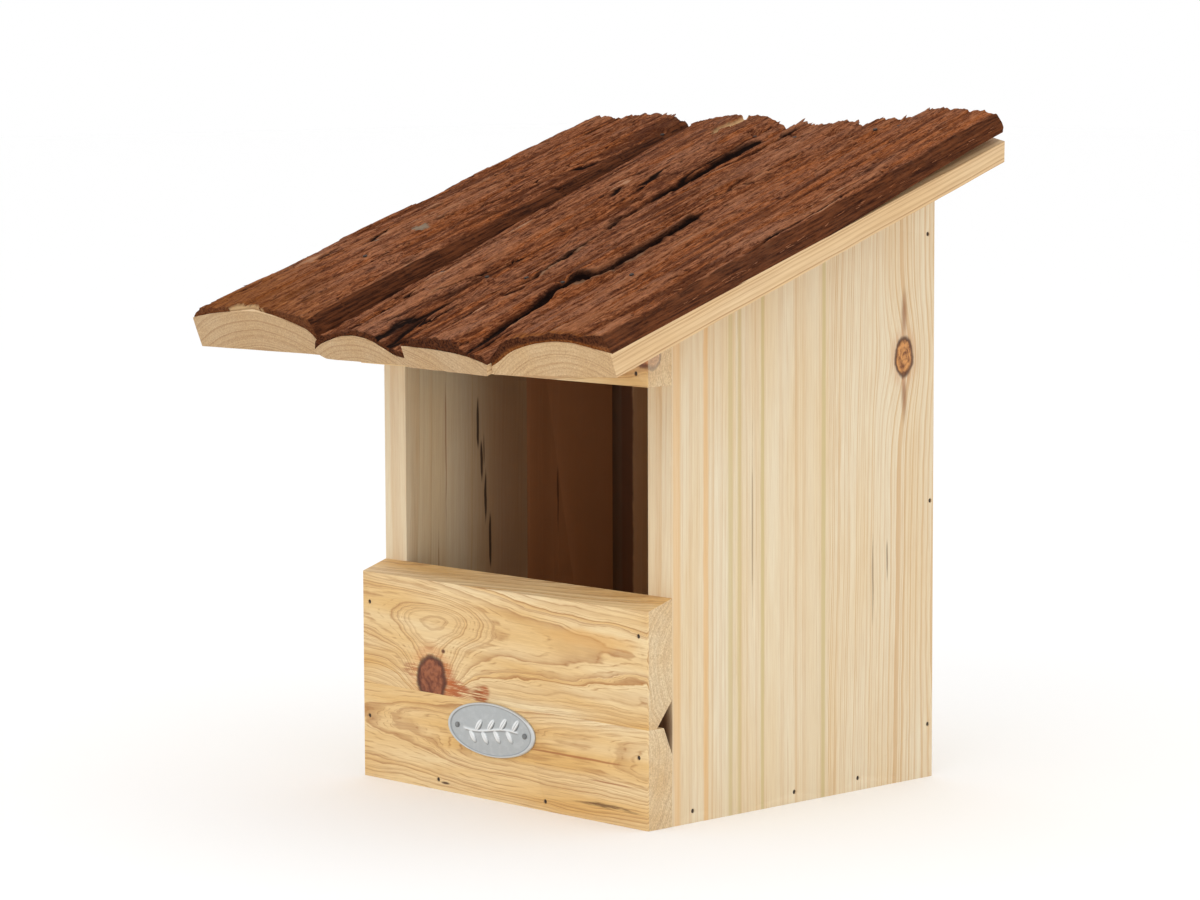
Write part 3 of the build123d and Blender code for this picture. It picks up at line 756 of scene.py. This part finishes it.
# Long cracks: the slabs they cross, their half width and depth, and their course as (x, s) points.
CRACKS = (
    ((1,), 0.9, 2.2, ((-112, 120), (-106, 150), (-97, 172), (-94, 204), (-95, 241), (-93, 285))),
    ((1,), 0.7, 1.6, ((-152, 200), (-134, 226), (-120, 251), (-102, 285))),
    ((1,), 0.5, 1.2, ((-140, 60), (-133, 110), (-138, 150))),
    ((1,), 0.5, 1.2, ((-100, 20), (-96, 70), (-99, 112))),
    ((3,), 1.8, 4.2, ((36, 8), (34, 27), (31, 59), (32, 80), (27, 109), (20, 142), (9, 185), (8, 203))),
    ((2,), 2.2, 4.0, ((8, 120), (3, 150), (1, 190), (0, 220), (0, 300))),
    ((3,), 2.0, 4.0, ((8, 190), (12, 220), (15, 240), (17, 273), (17, 318))),
    ((3,), 2.5, 4.8, ((66, -6), (61, 35), (56, 74), (57, 90), (64, 105), (64, 130), (63, 155), (60, 190))),
    ((4,), 2.2, 4.6, ((70, 120), (68, 160), (66, 212), (68, 260), (72, 300))),
    ((3,), 0.9, 2.4, ((44, 165), (50, 202), (56, 230), (55, 273))),
    ((4,), 0.8, 2.2, ((119.5, 2), (121, 22))),
    ((4,), 0.5, 1.2, ((92, 60), (90, 120), (94, 170))),
    ((2,), 0.5, 1.3, ((-38, -4), (-34, 35), (-36, 60))),
    ((2,), 0.5, 1.3, ((-22, 44), (-16, 82), (-11, 120))),
)

NAIL_HEADS = []


def slab_edges(slab, s):
    """The slab's left and right edges at a distance up the slope."""
    (front_left, front_right), (back_left, back_right) = slab["edges"]
    share = np.clip(s / ROOF_RUN, 0, 1)
    return front_left + (back_left - front_left) * share, front_right + (back_right - front_right) * share


def height_between(slab, layer, u, s):
    """Height of the wood or bark across a slab, from its profile at the eaves to that at the back."""
    front, back = slab[layer]
    share = smooth_step(0, 1, np.clip(s / ROOF_RUN, 0, 1)) * 0.5 + np.clip(s / ROOF_RUN, 0, 1) * 0.5
    ends = [curve_through(points, points[0][0] + (points[-1][0] - points[0][0]) * u) for points in (front, back)]
    return ends[0] * (1 - share) + ends[1] * share


def sawn_end(slab, u):
    """How far up the slope the slab's front end was sawn, across its width."""
    return slab["sawn"][0] + (slab["sawn"][1] - slab["sawn"][0]) * u


def share_across(slab, x, s):
    """How far across the slab a point is, from 0 at its left edge to 1 at its right."""
    left, right = slab_edges(slab, s)
    return np.clip((x - left) / (right - left), 0, 1)


def bark_surface(number, x, s, u, seed, relief):
    """Height of a slab's bark, with how deep in a crack, how high on a ridge and how fresh each point is."""
    slab = SLABS[number]
    base = height_between(slab, "bark", u, s)
    wood = height_between(slab, "wood", share_across(slab, x, s), s)
    warp = x + 2.4 * fractal(x / 45, s / 120, seed + 1, 2) + 0.5 * noise(x / 5, s / 14, seed + 16)
    swell = 0.5 * fractal(warp / 20, s / 70, seed + 2)
    plate, _ = cells(warp / 13, s / 110, seed + 3)
    flake, flake_gap = cells(warp / 4.2, s / 34, seed + 40)
    chip, _ = cells(warp / 1.9, s / 15, seed + 50)
    open_here = smooth_step(-0.3, 0.35, fractal(x / 26, s / 80, seed + 6, 2))
    furrow = noise(warp / 8, s / 150, seed + 4) + 0.10 * noise(warp / 2, s / 20, seed + 5)
    seam = np.exp(-(furrow / 0.055) ** 2) * open_here
    thin = (1 - smooth_step(0.02, 0.10, flake_gap)) * smooth_step(0.45, 0.9, chip + 0.3 * open_here)
    fibre = 0.28 * noise(warp / 1.9, s / 40, seed + 8) + 0.16 * noise(warp / 1.2, s / 20, seed + 9)
    fibre = fibre + 0.45 * noise(warp / 3.4, s / 75, seed + 18)
    crust = fractal(x / 3.4, s / 11, seed + 10, 4)
    steps = 1.3 * (plate - 0.5) + 0.9 * (flake - 0.5) + 0.45 * (chip - 0.5)
    detail = swell + steps - 1.7 * seam - 0.6 * thin + fibre + 0.2 * crust
    # Painted shade: dark in the open seams and in the gaps between flakes.
    dark = np.maximum(0.9 * seam, 0.4 * thin)
    # Painted highlight: a pale line along one lip of each open seam.
    pale = np.exp(-((furrow - 0.12) / 0.05) ** 2) * open_here * smooth_step(0.1, 0.4, noise(x / 9, s / 30, seed + 20))
    for slabs, half, depth, course in CRACKS:
        if number not in slabs:
            continue
        cx, cs = np.array(course, float).T
        middle = np.interp(s, cs, cx) + 1.6 * fractal(s / 24, s * 0 + half, seed + 12, 2)
        ends = smooth_step(cs[0] - 4, cs[0] + 12, s) * (1 - smooth_step(cs[-1] - 12, cs[-1] + 4, s))
        width = half * (0.3 + 0.7 * ends) * (1 + 0.55 * fractal(s / 20, s * 0 + depth, seed + 14))
        away = np.abs(x - middle + 0.35 * crust)
        cut = (1 - smooth_step(0.45, 1.05, away / np.maximum(width, 0.35))) * smooth_step(0.0, 0.3, ends)
        crumbly = smooth_step(0.05, 0.3, fractal(s / 30, s * 0 + half, seed + 17, 2)) * min(half, 2.0) / 2
        lumps = np.exp(-(away / (width * 1.8)) ** 2) * ends * crumbly
        detail = detail - depth * cut + lumps * np.maximum(crust, 0) * depth * 0.7
        detail = detail + 0.5 * ends * np.exp(-((away / width - 1.9) / 0.7) ** 2)
        # Painted shade in the crack and among the crumbly lumps beside it.
        dark = np.maximum(dark, np.maximum(cut, 0.8 * lumps))
        # Painted highlight along the lip on the crack's right side only, the side facing the light.
        edge = np.exp(-((away / width - 1.35) / 0.3) ** 2) * ends
        edge = edge * smooth_step(0.0, 0.3, noise(s / 11, x * 0 + half, seed + 19))
        pale = np.maximum(pale, edge * (x > middle))
    detail = detail * (1 - 0.5 * smooth_step(200, 300, s) * (number == 2))
    height = base + relief * detail
    height = np.maximum(height, wood + 0.9 + 0.2 * noise(x / 4, s / 9, seed + 15))
    for nail_x, nail_s, nail_n in nail_heads():
        near = np.exp(-(((x - nail_x) ** 2 + (s - nail_s) ** 2) / 3.5 ** 2) ** 2)
        height = height + near * (nail_n - 0.9 - height)
    # The ridge value lightens high relief and darkens hollows, painted light and shade mixed with rubbed fibres; lip
    # highlights lift it above 1.
    ridge = np.clip(0.5 + 0.35 * (detail - swell) + 0.4 * fibre + 0.9 * pale, 0, 1.5)
    tone = 0.45 * flake + 0.35 * plate + 0.2 * chip + {1: -0.03, 4: -0.1}.get(number, 0.0)
    return height, np.clip(dark, 0, 1), ridge, tone


def nail_heads():
    """The middle and top of each roof nail's head as (x, s, n), from the CAD nails' own points."""
    if not NAIL_HEADS:
        points = np.array([v.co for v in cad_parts["roof_nails"].data.vertices]) / MM - EAVES
        spots = np.stack([points[:, 0], points @ UP_SLOPE, points @ ROOF_UP], -1)
        while len(spots):
            own = np.hypot(spots[:, 0] - spots[0, 0], spots[:, 1] - spots[0, 1]) < 12
            low, high = spots[own].min(0), spots[own].max(0)
            NAIL_HEADS.append(((low[0] + high[0]) / 2, (low[1] + high[1]) / 2, high[2]))
            spots = spots[~own]
    return NAIL_HEADS


# Patches without bark and old scars: slab, middle (x, s), half size across and along, 0 for bare wood or 1 for a scar.
MARKS = ((2, (-33, 308), (4.5, 14), 0), (1, (-118, 1), (15, 4.5), 0), (1, (-107, 126), (4.0, 5.0), 1),
         (1, (-124, 104), (2.5, 5), 1))


def marks_at(number, x, s, kind, seed):
    """How much a patch of one kind covers each point of a slab."""
    cover = np.zeros_like(x)
    for slab, (mx, ms), (half_x, half_s), what in MARKS:
        if slab == number and what == kind:
            away = np.hypot((x - mx + 0.5 * half_x * noise(s / 7, x * 0, seed)) / half_x, (s - ms) / half_s)
            away = away + 0.45 * fractal(x / 2.2, s / 5, seed + 1)
            cover = np.maximum(cover, 1 - smooth_step(0.75, 1.0, away))
    return cover


def bark_mesh(number, seed, relief):
    """The bark of one slab as a closed mesh whose top follows the plates, cracks and fibres."""
    slab = SLABS[number]
    across = abs(slab["edges"][0][1] - slab["edges"][0][0])

    def place(u, v, w):
        front = sawn_end(slab, u) + 0.8 + 1.2 * noise(u * 22, v * 0, seed + 20) * w
        if number == 1:
            front = front + 4.5 * np.exp(-((u - 0.47) / 0.14) ** 2) * w
        s = front + (ROOF_RUN - front) * v
        left, right = slab_edges(slab, s)
        wear = 1.0 * noise(s / 17, u * 2, seed + 21) + 0.5 * noise(s / 4, u * 2, seed + 22)
        top_left, top_right = left + slab["draft"][0] + 0.5 * wear, right - slab["draft"][1] + wear
        top_x = top_left + (top_right - top_left) * u
        low_x = left + (right - left) * u
        top, dark, ridge, tone = bark_surface(number, top_x, s, u, seed, relief)
        bottom = height_between(slab, "wood", u, s) - 0.4
        if number == 4:
            bottom = bottom + 5.6 * smooth_step(150, ROOF_RUN, s) * smooth_step(0.72, 1.0, u)
        edge_gap = np.minimum(u, 1 - u) * across
        rounding = np.where((u > 0.5) & (number in (1, 4)), 0.0, 1.8)
        top = top - rounding * np.clip(1 - edge_gap / 3.2, 0, 1) ** 2
        bare, scar = marks_at(number, top_x, s, 0, seed + 30), marks_at(number, top_x, s, 1, seed + 31)
        top = top - bare * (top - bottom - 0.75) * 0.8
        top = np.maximum(top, np.maximum(bottom, height_between(slab, "wood", share_across(slab, top_x, s), s)) + 0.6)
        n = bottom + (top - bottom) * w
        x = low_x + (top_x - low_x) * w ** 1.6
        ragged = (1.2 if number == 2 else 2.2) * np.maximum(fractal(u * across / 4, w * 2, seed + 23), -0.3) + 1.1
        s = np.where(v > 0, s + v ** 30 * (n * math.tan(ROOF_SLOPE) - ragged), s)
        # Side walls and sawn front ends, which the material paints darker brown: painted shade where the walls face
        # down into the seams.
        side = np.clip(1 - edge_gap / 1.0, 0, 1)
        front_end = (v == 0) * ((w > 0.4) if number == 4 else 1.0)
        # Painted shade on the right outer wall of slabs 1 and 4; the sawn front ends are darkened too.
        outer_wall = {1: 0.55, 4: 0.25}.get(number, 0.0) * (u == 1)
        dark = np.maximum(np.maximum(dark * w, outer_wall), {1: 0.25, 2: 0.5}.get(number, 0.6) * front_end)
        fresh = {4: np.maximum(1 - smooth_step(1, 7, s), 0) * 0.9,
                 1: (1 - smooth_step(20, 110, s + 0.6 * (x + 165))) * 0.8}.get(number, 0 * s)
        side = np.maximum(side, front_end * (0.5 if number == 1 else 1.0))
        return on_roof(x, s, n), {"crack": dark, "ridge": ridge * w + 0.35 * (1 - w), "fresh": fresh * (1 - dark),
                                  "side": side, "bare": bare * w, "scar": scar * w, "tone": tone}

    return block_mesh(f"roof_bark_{number}", (int(across / BARK_CELL), BARK_CELLS_ALONG, 4), place, crisp=40)


# Where fibres stand out at the back of the roof: slab, from x, to x, how many.
FRINGES = ((1, -101, -88, 5), (1, -150, -120, 3), (2, -74, -66, 3), (2, -12, -2, 3), (3, 8, 24, 5), (3, 56, 63, 2),
           (4, 67, 76, 3), (4, 88, 124, 8))


def splinter_mesh(seed, bark_seed, relief):
    """Loose fibres and thin flakes: a fringe at the back of the roof and more over the bark."""
    pick = random.Random(seed)
    points, faces, ridges = [], [], []

    def stick(number, x, s, length, width, thick, tilt, yaw, lift):
        left, right = slab_edges(SLABS[number], s)
        u = np.clip(np.array([(x - left) / (right - left)]), 0.02, 0.98)
        n = bark_surface(number, np.array([float(x)]), np.array([float(s)]), u, bark_seed + number * 7, relief)[0][0]
        run = np.array((math.sin(yaw), math.cos(yaw) * math.cos(tilt), math.sin(tilt)))
        over = np.array((math.cos(yaw), -math.sin(yaw), 0))
        start, first, sections = np.array((x, s, n + lift)), len(points), 4
        curl = pick.uniform(-0.1, 0.12) * length
        for step in range(sections):
            share = step / sections
            middle = start + run * length * share + np.array((0, 0, curl * share ** 2))
            half, up = over * width / 2 * (1 - 0.75 * share), np.array((0, 0, thick / 2 * (1 - 0.5 * share)))
            points.extend(middle + corner for corner in (-half - up, half - up, half + up, -half + up))
        points.append(start + run * length + np.array((0, 0, curl)))
        faces.append([first, first + 3, first + 2, first + 1][::-1])
        for step in range(sections - 1):
            a, b = first + 4 * step, first + 4 * step + 4
            faces.extend([a + i, a + (i + 1) % 4, b + (i + 1) % 4, b + i][::-1] for i in range(4))
        last = first + 4 * sections
        faces.extend([last - 4 + i, last - 4 + (i + 1) % 4, last][::-1] for i in range(4))
        ridges.extend([pick.uniform(0.3, 1.0)] * (last + 1 - first))

    for _ in range(60):
        s = pick.uniform(60, 318)
        stick(4, 164.2, s, pick.uniform(3, 9), 0.5, 0.3, math.radians(pick.uniform(-3, 6)),
              math.radians(pick.uniform(-4, 5)), -pick.uniform(5, 9))
    for number, low, high, count in FRINGES:
        for _ in range(count):
            s = ROOF_RUN + 20 * math.tan(ROOF_SLOPE) - pick.uniform(4, 9)
            stick(number, pick.uniform(low, high), s, pick.uniform(4, 8.5), pick.uniform(1.6, 4.5), 0.9,
                  math.radians(pick.uniform(0, 30) * pick.random()), math.radians(pick.uniform(-20, 20)), -0.6)
    for number, slab in SLABS.items():
        for _ in range(70):
            s, length = pick.uniform(12, 300), pick.uniform(4, 13)
            left, right = slab_edges(slab, s)
            x = pick.uniform(left + 9, right - 9)
            away = math.radians(180) if pick.random() < 0.5 else 0
            stick(number, x, s, length, pick.uniform(0.4, 1.5), 0.3, math.radians(pick.uniform(1, 9)),
                  away + math.radians(pick.uniform(-9, 9)), 0.0)
    mesh = bpy.data.meshes.new("bark_splinters")
    places = np.array(points)
    mesh.from_pydata(on_roof(*places.T).tolist(), [], faces)
    add_values(mesh, {"ridge": ridges, "tone": ridges})
    smooth_by_angle(mesh, 30)
    return mesh


def slab_mesh(number, seed):
    """The wood of one slab: flat sawn underside, domed top and a skewed sawn end."""
    slab = SLABS[number]

    def place(u, v, w):
        front = sawn_end(slab, u)
        s = front + (ROOF_RUN - front) * v
        left, right = slab_edges(slab, s)
        top = height_between(slab, "wood", u, s)
        n = top * w + 0.12 * noise(u * 9, s / 8, seed) * (1 - w)
        inset = (1 - w) ** 1.5
        x = left + (right - left) * u + inset * (slab["undercut"][0] * (1 - u) - slab["undercut"][1] * u)
        x = x + 0.25 * noise(s / 40, n / 20, seed + 1) * np.where((u == 0) | (u == 1), 1, 0)
        s = s + v ** 40 * n * math.tan(ROOF_SLOPE)
        return on_roof(x, s, n), {}

    return block_mesh(f"roof_slab_{number}", (48, 70, 8), place, crisp=40)


def bark_material(settings):
    """Fibrous reddish bark: painted shade dark in the cracks and on the side walls, lighter on ridges from rubbed
    fibres and painted light, fresher and orange at thin places.
    """
    material, g, shader, position = new_material("slab_bark", 0.85)
    along = tuple(UP_SLOPE)
    amount = g.vector("DOT_PRODUCT", position, along, out="Value")

    def stretched(share):
        return g.vector("SUBTRACT", position, g.scaled(along, g.times(amount, 1 - share)))

    fibres = g.noise(stretched(0.13), 0.9, 6.0, 0.7)
    threads = g.noise(stretched(0.1), 2.4, 4.0, 0.7)
    patches = g.noise(stretched(0.28), 0.045, 4.0, 0.6)
    crumbs = g.noise(stretched(0.55), 0.9, 4.0, 0.7)
    specks = g.noise(position, 0.9, 4.0, 0.7)
    ridge, crack, fresh = g.attribute("ridge"), g.attribute("crack"), g.attribute("fresh")
    hue = g.plus(g.times(g.attribute("tone"), 0.7), g.times(patches, 0.8))
    deep, light = colour(66, 30, 17), settings["light"]
    base = g.mix(g.fit(hue, 0.74, 1.0, 0.0, 1.0), settings["body"], settings["grey"])
    # What each layer follows, where it starts and is full, how much it then covers, and its colour.
    for source, start, full, cover, tint in (
        (hue, 0.72, 0.5, 1.0, settings["orange"]),
        (patches, 0.5, 0.32, 0.5, deep),
        (fibres, 0.5, 0.37, 0.8, light),
        (fibres, 0.5, 0.63, 0.9, deep),
        (threads, 0.53, 0.64, 0.75, deep),
        (threads, 0.45, 0.34, 0.55, light),
        (crumbs, 0.54, 0.66, 0.7, colour(84, 40, 22)),
        (crumbs, 0.42, 0.32, 0.45, light),
        # Ridge rows: painted shade in hollows, rubbed fibres and painted light on high relief, painted highlight on
        # crack lips.
        (ridge, 0.45, 0.1, 0.7, deep),
        (ridge, 0.65, 1.0, 0.4, light),
        (ridge, 1.05, 1.4, 0.6, colour(208, 164, 130)),
    ):
        base = g.mix(g.fit(source, start, full, 0.0, cover), base, tint)
    amber = g.mix(g.fit(fibres, 0.35, 0.6), colour(176, 110, 54), colour(116, 60, 26))
    base = g.mix(fresh, base, amber)
    # Painted shade: cracks, seams and flake gaps nearly black, and the outer walls and sawn front ends darker.
    base = g.mix(g.fit(crack, 0.15, 0.7), base, settings["dark"])
    long_fibres = g.noise(stretched(0.04), 0.8, 4.0, 0.7)
    # Painted shade: darker brown on the side walls that face down into the seams, laid also on the sawn front ends.
    side_wall_shade = g.mix(g.fit(long_fibres, 0.36, 0.62), colour(124, 70, 40), colour(48, 22, 13))
    base = g.mix(g.times(g.attribute("side"), 0.85), base, side_wall_shade)
    base = g.mix(g.times(g.attribute("scar"), 0.8), base, colour(158, 146, 126))
    base = g.mix(g.attribute("bare"), base, g.mix(threads, colour(238, 206, 158), colour(214, 166, 112)))
    base = g.mix(g.fit(specks, 0.7, 0.75, 0.0, 0.5), base, colour(208, 164, 122))
    dust = g.group("Settled Dust", {"Position": position, "Amount": 0.04})["Mask"]
    base = g.mix(dust, base, colour(180, 132, 96))
    g.feed(shader["Base Color"], base)
    g.feed(shader["Roughness"], g.fit(threads, 0.3, 0.7, 0.75, 0.95))
    shader["Specular IOR Level"].default_value = 0.06
    height = g.plus(g.times(fibres, 1.0), g.times(threads, 0.6))
    height = g.times(g.plus(height, g.times(crumbs, 0.5)), -1.0)
    g.feed(shader["Normal"], g.add("Bump", {"Height": height, "Strength": 1.0, "Distance": 1.6 * MM}))
    return material


class BIRDHOUSE_OT_slabs(bpy.types.Operator):
    """Adds the wood of the four roof slabs"""
    bl_idname = "birdhouse.slabs"
    bl_label = "Roof slabs"

    def execute(self, context):
        wood = context.scene.birdhouse.wood
        look = {"early": colour(228, 200, 158), "warm": colour(222, 188, 140), "late": colour(172, 128, 80),
                "contrast": 0.85, "fine": 0.4}
        piths = {1: (-112, -85), 2: (-28, -52), 3: (-20, -150), 4: (131, -50)}
        for number in SLABS:
            x, n = piths[number]
            look["ends"] = colour(196, 162, 116) if number == 4 else colour(168, 136, 96)
            pith = tuple(on_roof(x, np.float64(0), np.float64(n)) / MM)
            material = wood_material(f"slab_wood_{number}", look, pith, tuple(UP_SLOPE), spacing=2.3, wander=0.9,
                                     seed=20.0 + number, depth=2.0)
            add_object(f"roof_slab_{number}_wood", slab_mesh(number, 60 + number), material,
                       [f"roof_slab_{number}"])
        return {"FINISHED"}


class BIRDHOUSE_OT_bark(bpy.types.Operator):
    """Adds the bark on the four roof slabs"""
    bl_idname = "birdhouse.bark"
    bl_label = "Bark"

    def execute(self, context):
        bark = context.scene.birdhouse.bark
        settings = {key: tuple(getattr(bark, key)) for key in ("body", "light", "dark", "orange", "grey")}
        material = bark_material(settings)
        for number in SLABS:
            mesh = bark_mesh(number, bark.seed * 100 + number * 7, bark.relief)
            add_object(f"roof_bark_{number}_plates", mesh, material, [f"roof_bark_{number}"])
        add_object("roof_bark_splinters", splinter_mesh(bark.seed, bark.seed * 100, bark.relief), material)
        return {"FINISHED"}


# ---- Metal -------------------------------------------------------------------------------------

def metal_material(name, tint, rough, streak=0.5, metallic=1.0):
    """Worn metal: a fine directional polish and faint patches."""
    material, g, shader, position = new_material(name, rough)
    brushed = g.noise(g.vector("MULTIPLY", position, (0.15, 1.0, 2.5)), 2.0, 4.0, 0.6)
    patches = g.noise(position, 0.25, 3.0)
    base = g.mix(g.fit(brushed, 0.3, 0.7, 0.0, 0.3 * streak * metallic), tint, colour(120, 122, 124))
    base = g.mix(g.fit(patches, 0.5, 0.8, 0.0, 0.25 * metallic), base, colour(226, 228, 230), "SCREEN")
    # Painted highlight on raised relief; painted shade beside the relief and in recesses.
    base = g.mix(g.times(g.attribute("raised"), 0.85), base, colour(252, 254, 254))
    base = g.mix(g.times(g.attribute("shaded_recess"), 0.8), base, colour(84, 88, 92))
    g.feed(shader["Base Color"], base)
    shader["Metallic"].default_value = metallic
    g.feed(shader["Roughness"], g.fit(brushed, 0.3, 0.7, rough * 0.85, rough * 1.2))
    g.feed(shader["Normal"], g.add("Bump", {"Height": brushed, "Strength": 0.2, "Distance": 0.1 * MM}))
    return material


def sprig(a, b):
    """Height from 0 to 1 of a leafy sprig on the plate, at a and b millimetres from its middle."""
    stem_b = 1.6 * np.sin(a / 9.0)
    height = 0.7 * np.exp(-((b - stem_b) / 0.55) ** 2) * (1 - smooth_step(20, 23, np.abs(a)))
    for index, at in enumerate(np.linspace(-17.5, 17.5, 8)):
        lean = math.radians(52 if index % 2 else -52)
        root_b = 1.6 * math.sin(at / 9.0)
        da, db = a - at, b - root_b
        along = da * math.cos(lean) + db * math.sin(lean)
        off = -da * math.sin(lean) + db * math.cos(lean)
        half_length, half_width = 4.2, 1.75
        away = ((along - half_length) / half_length) ** 2 + (off / half_width) ** 2
        leaf = np.sqrt(np.clip(1 - away, 0, 1)) * (1 - 0.55 * np.exp(-(off / 0.28) ** 2))
        height = np.maximum(height, leaf)
    return height


class BIRDHOUSE_OT_plate(bpy.types.Operator):
    """Adds the oval plate with its rim and leafy sprig, and its two pins"""
    bl_idname = "birdhouse.plate"
    bl_label = "Name plate"

    def execute(self, context):
        settings = context.scene.birdhouse.plate
        low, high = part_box("name_plate")
        centre, half = (low + high) / 2 / MM, (high - low) / 2 / MM
        rim, field_height, rim_rise, edge_drop = settings.rim / MM, 1.0, 0.5, 0.7

        def place(u, v, w):
            disc_a, disc_b = on_disc(u, v)
            px, pz = disc_a * half.x, disc_b * half.z
            inward = (1 - np.hypot(disc_a, disc_b)) * half.z
            raised = 1 - smooth_step(rim * 0.7, rim * 1.3, inward)
            height = field_height + rim_rise * raised - edge_drop * (1 - smooth_step(0.0, 0.5, inward)) ** 2
            leaf = sprig(px, pz) * smooth_step(rim * 1.2, rim * 1.9, inward)
            height = height + settings.relief / MM * leaf
            # Painted shadow: the sprig shifted a little, less the sprig itself, darkens one side of each leaf; the
            # rim's slope is darkened too. The raised value paints a highlight on the leaves and rim.
            low_side = sprig(px - 0.5, pz + 0.5) * smooth_step(rim * 1.2, rim * 1.9, inward)
            shaded_recess = np.clip(1.6 * np.maximum(low_side - leaf, 0) + 3.0 * raised * (1 - raised), 0, 1) * w
            points = np.stack([centre.x + px, high.y / MM - height * w, centre.z + pz], -1) * MM
            return points, {"raised": np.maximum(np.sqrt(leaf), 0.3 * raised) * w, "shaded_recess": shaded_recess}

        mesh = block_mesh("name_plate", (170, 76, 2), place, crisp=60)
        metal = metal_material("plate_metal", tuple(settings.metal), 0.42, metallic=0.75)
        add_object("name_plate_oval", mesh, metal, ["name_plate"])
        dark = metal_material("pin_steel", colour(128, 130, 130), 0.5, metallic=0.8)
        add_object("name_plate_pins_domed", finished_copy("name_plate_pins", 0.3, 3), dark,
                   ["name_plate_pins"])
        return {"FINISHED"}


class BIRDHOUSE_OT_metalwork(bpy.types.Operator):
    """Adds the nails, the hanger plate and its screws"""
    bl_idname = "birdhouse.metalwork"
    bl_label = "Nails and hanger"

    def execute(self, context):
        steel = metal_material("nail_steel", colour(58, 46, 38), 0.75, metallic=0.1)
        zinc = metal_material("zinc_plate", colour(190, 194, 198), 0.38, streak=1.0)
        for node in ("front_board_nails", "lintel_nails", "left_side_nails", "right_side_nails", "roof_nails"):
            add_object(node + "_steel", finished_copy(node, 0.15, 1), steel, [node])
        add_object("hanger_plate_zinc", finished_copy("hanger_plate", 0.3, 2), zinc, ["hanger_plate"])
        low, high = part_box("hanger_screws")
        cone = metal_material("screw_zinc", colour(150, 154, 158), 0.35)
        head_depth, cross_depth, cross_reach = 1.6, 1.1, 2.1
        middle_z, reach = (low.z + high.z) / 2 / MM, (high.z - low.z) / 2 / MM
        for side, place_name in ((-1, "left"), (1, "right")):
            middle_x = side * (high.x / MM - reach)

            def place(u, v, w):
                disc_a, disc_b = on_disc(u, v)
                radius = reach - 0.05 - head_depth * (1 - w)
                da, db = disc_a * radius, disc_b * radius
                arms = [(1 - smooth_step(0.4, 0.62, np.abs(p)))
                        * (1 - smooth_step(cross_reach - 0.3, cross_reach, np.abs(q))) for p, q in ((da, db), (db, da))]
                # The cross slot, which the screw material also darkens as painted shade.
                shaded_recess = np.maximum(*arms) * w
                y = high.y / MM - head_depth * (1 - w) - cross_depth * shaded_recess
                return np.stack([middle_x - da, y, middle_z + db], -1) * MM, {"shaded_recess": shaded_recess}

            mesh = block_mesh("hanger_screw_" + place_name, (44, 44, 2), place, crisp=50)
            add_object(f"hanger_screw_{place_name}_zinc", mesh, cone, ["hanger_screws"] if side < 0 else [])
        return {"FINISHED"}


# ---- Panel and registration --------------------------------------------------------------------

OPERATORS = (BIRDHOUSE_OT_stage, BIRDHOUSE_OT_walls, BIRDHOUSE_OT_front, BIRDHOUSE_OT_slabs, BIRDHOUSE_OT_bark,
             BIRDHOUSE_OT_plate, BIRDHOUSE_OT_metalwork)


class BIRDHOUSE_PT_panel(bpy.types.Panel):
    """Lists the birdhouse's pieces and settings"""
    bl_idname = "BIRDHOUSE_PT_panel"
    bl_label = "Birdhouse"
    bl_space_type = "VIEW_3D"
    bl_region_type = "UI"
    bl_category = "Birdhouse"

    def draw(self, context):
        for operator in OPERATORS:
            self.layout.operator(operator.bl_idname)
        for name in ("wood", "bark", "plate", "stage"):
            group = getattr(context.scene.birdhouse, name)
            box = self.layout.box()
            box.label(text=name.capitalize())
            for key in group.__annotations__:
                box.prop(group, key)


CLASSES = (BirdhouseWoodSettings, BirdhouseBarkSettings, BirdhousePlateSettings, BirdhouseStageSettings,
           BirdhouseSettings, *OPERATORS, BIRDHOUSE_PT_panel)


def register():
    for cls in CLASSES:
        bpy.utils.register_class(cls)
    bpy.types.Scene.birdhouse = PointerProperty(type=BirdhouseSettings)


def unregister():
    del bpy.types.Scene.birdhouse
    for cls in reversed(CLASSES):
        bpy.utils.unregister_class(cls)


def main():
    """Builds everything in order."""
    register()
    for operator in OPERATORS:
        family, name = operator.bl_idname.split(".")
        getattr(getattr(bpy.ops, family), name)()


if __name__ == "__main__":
    main()
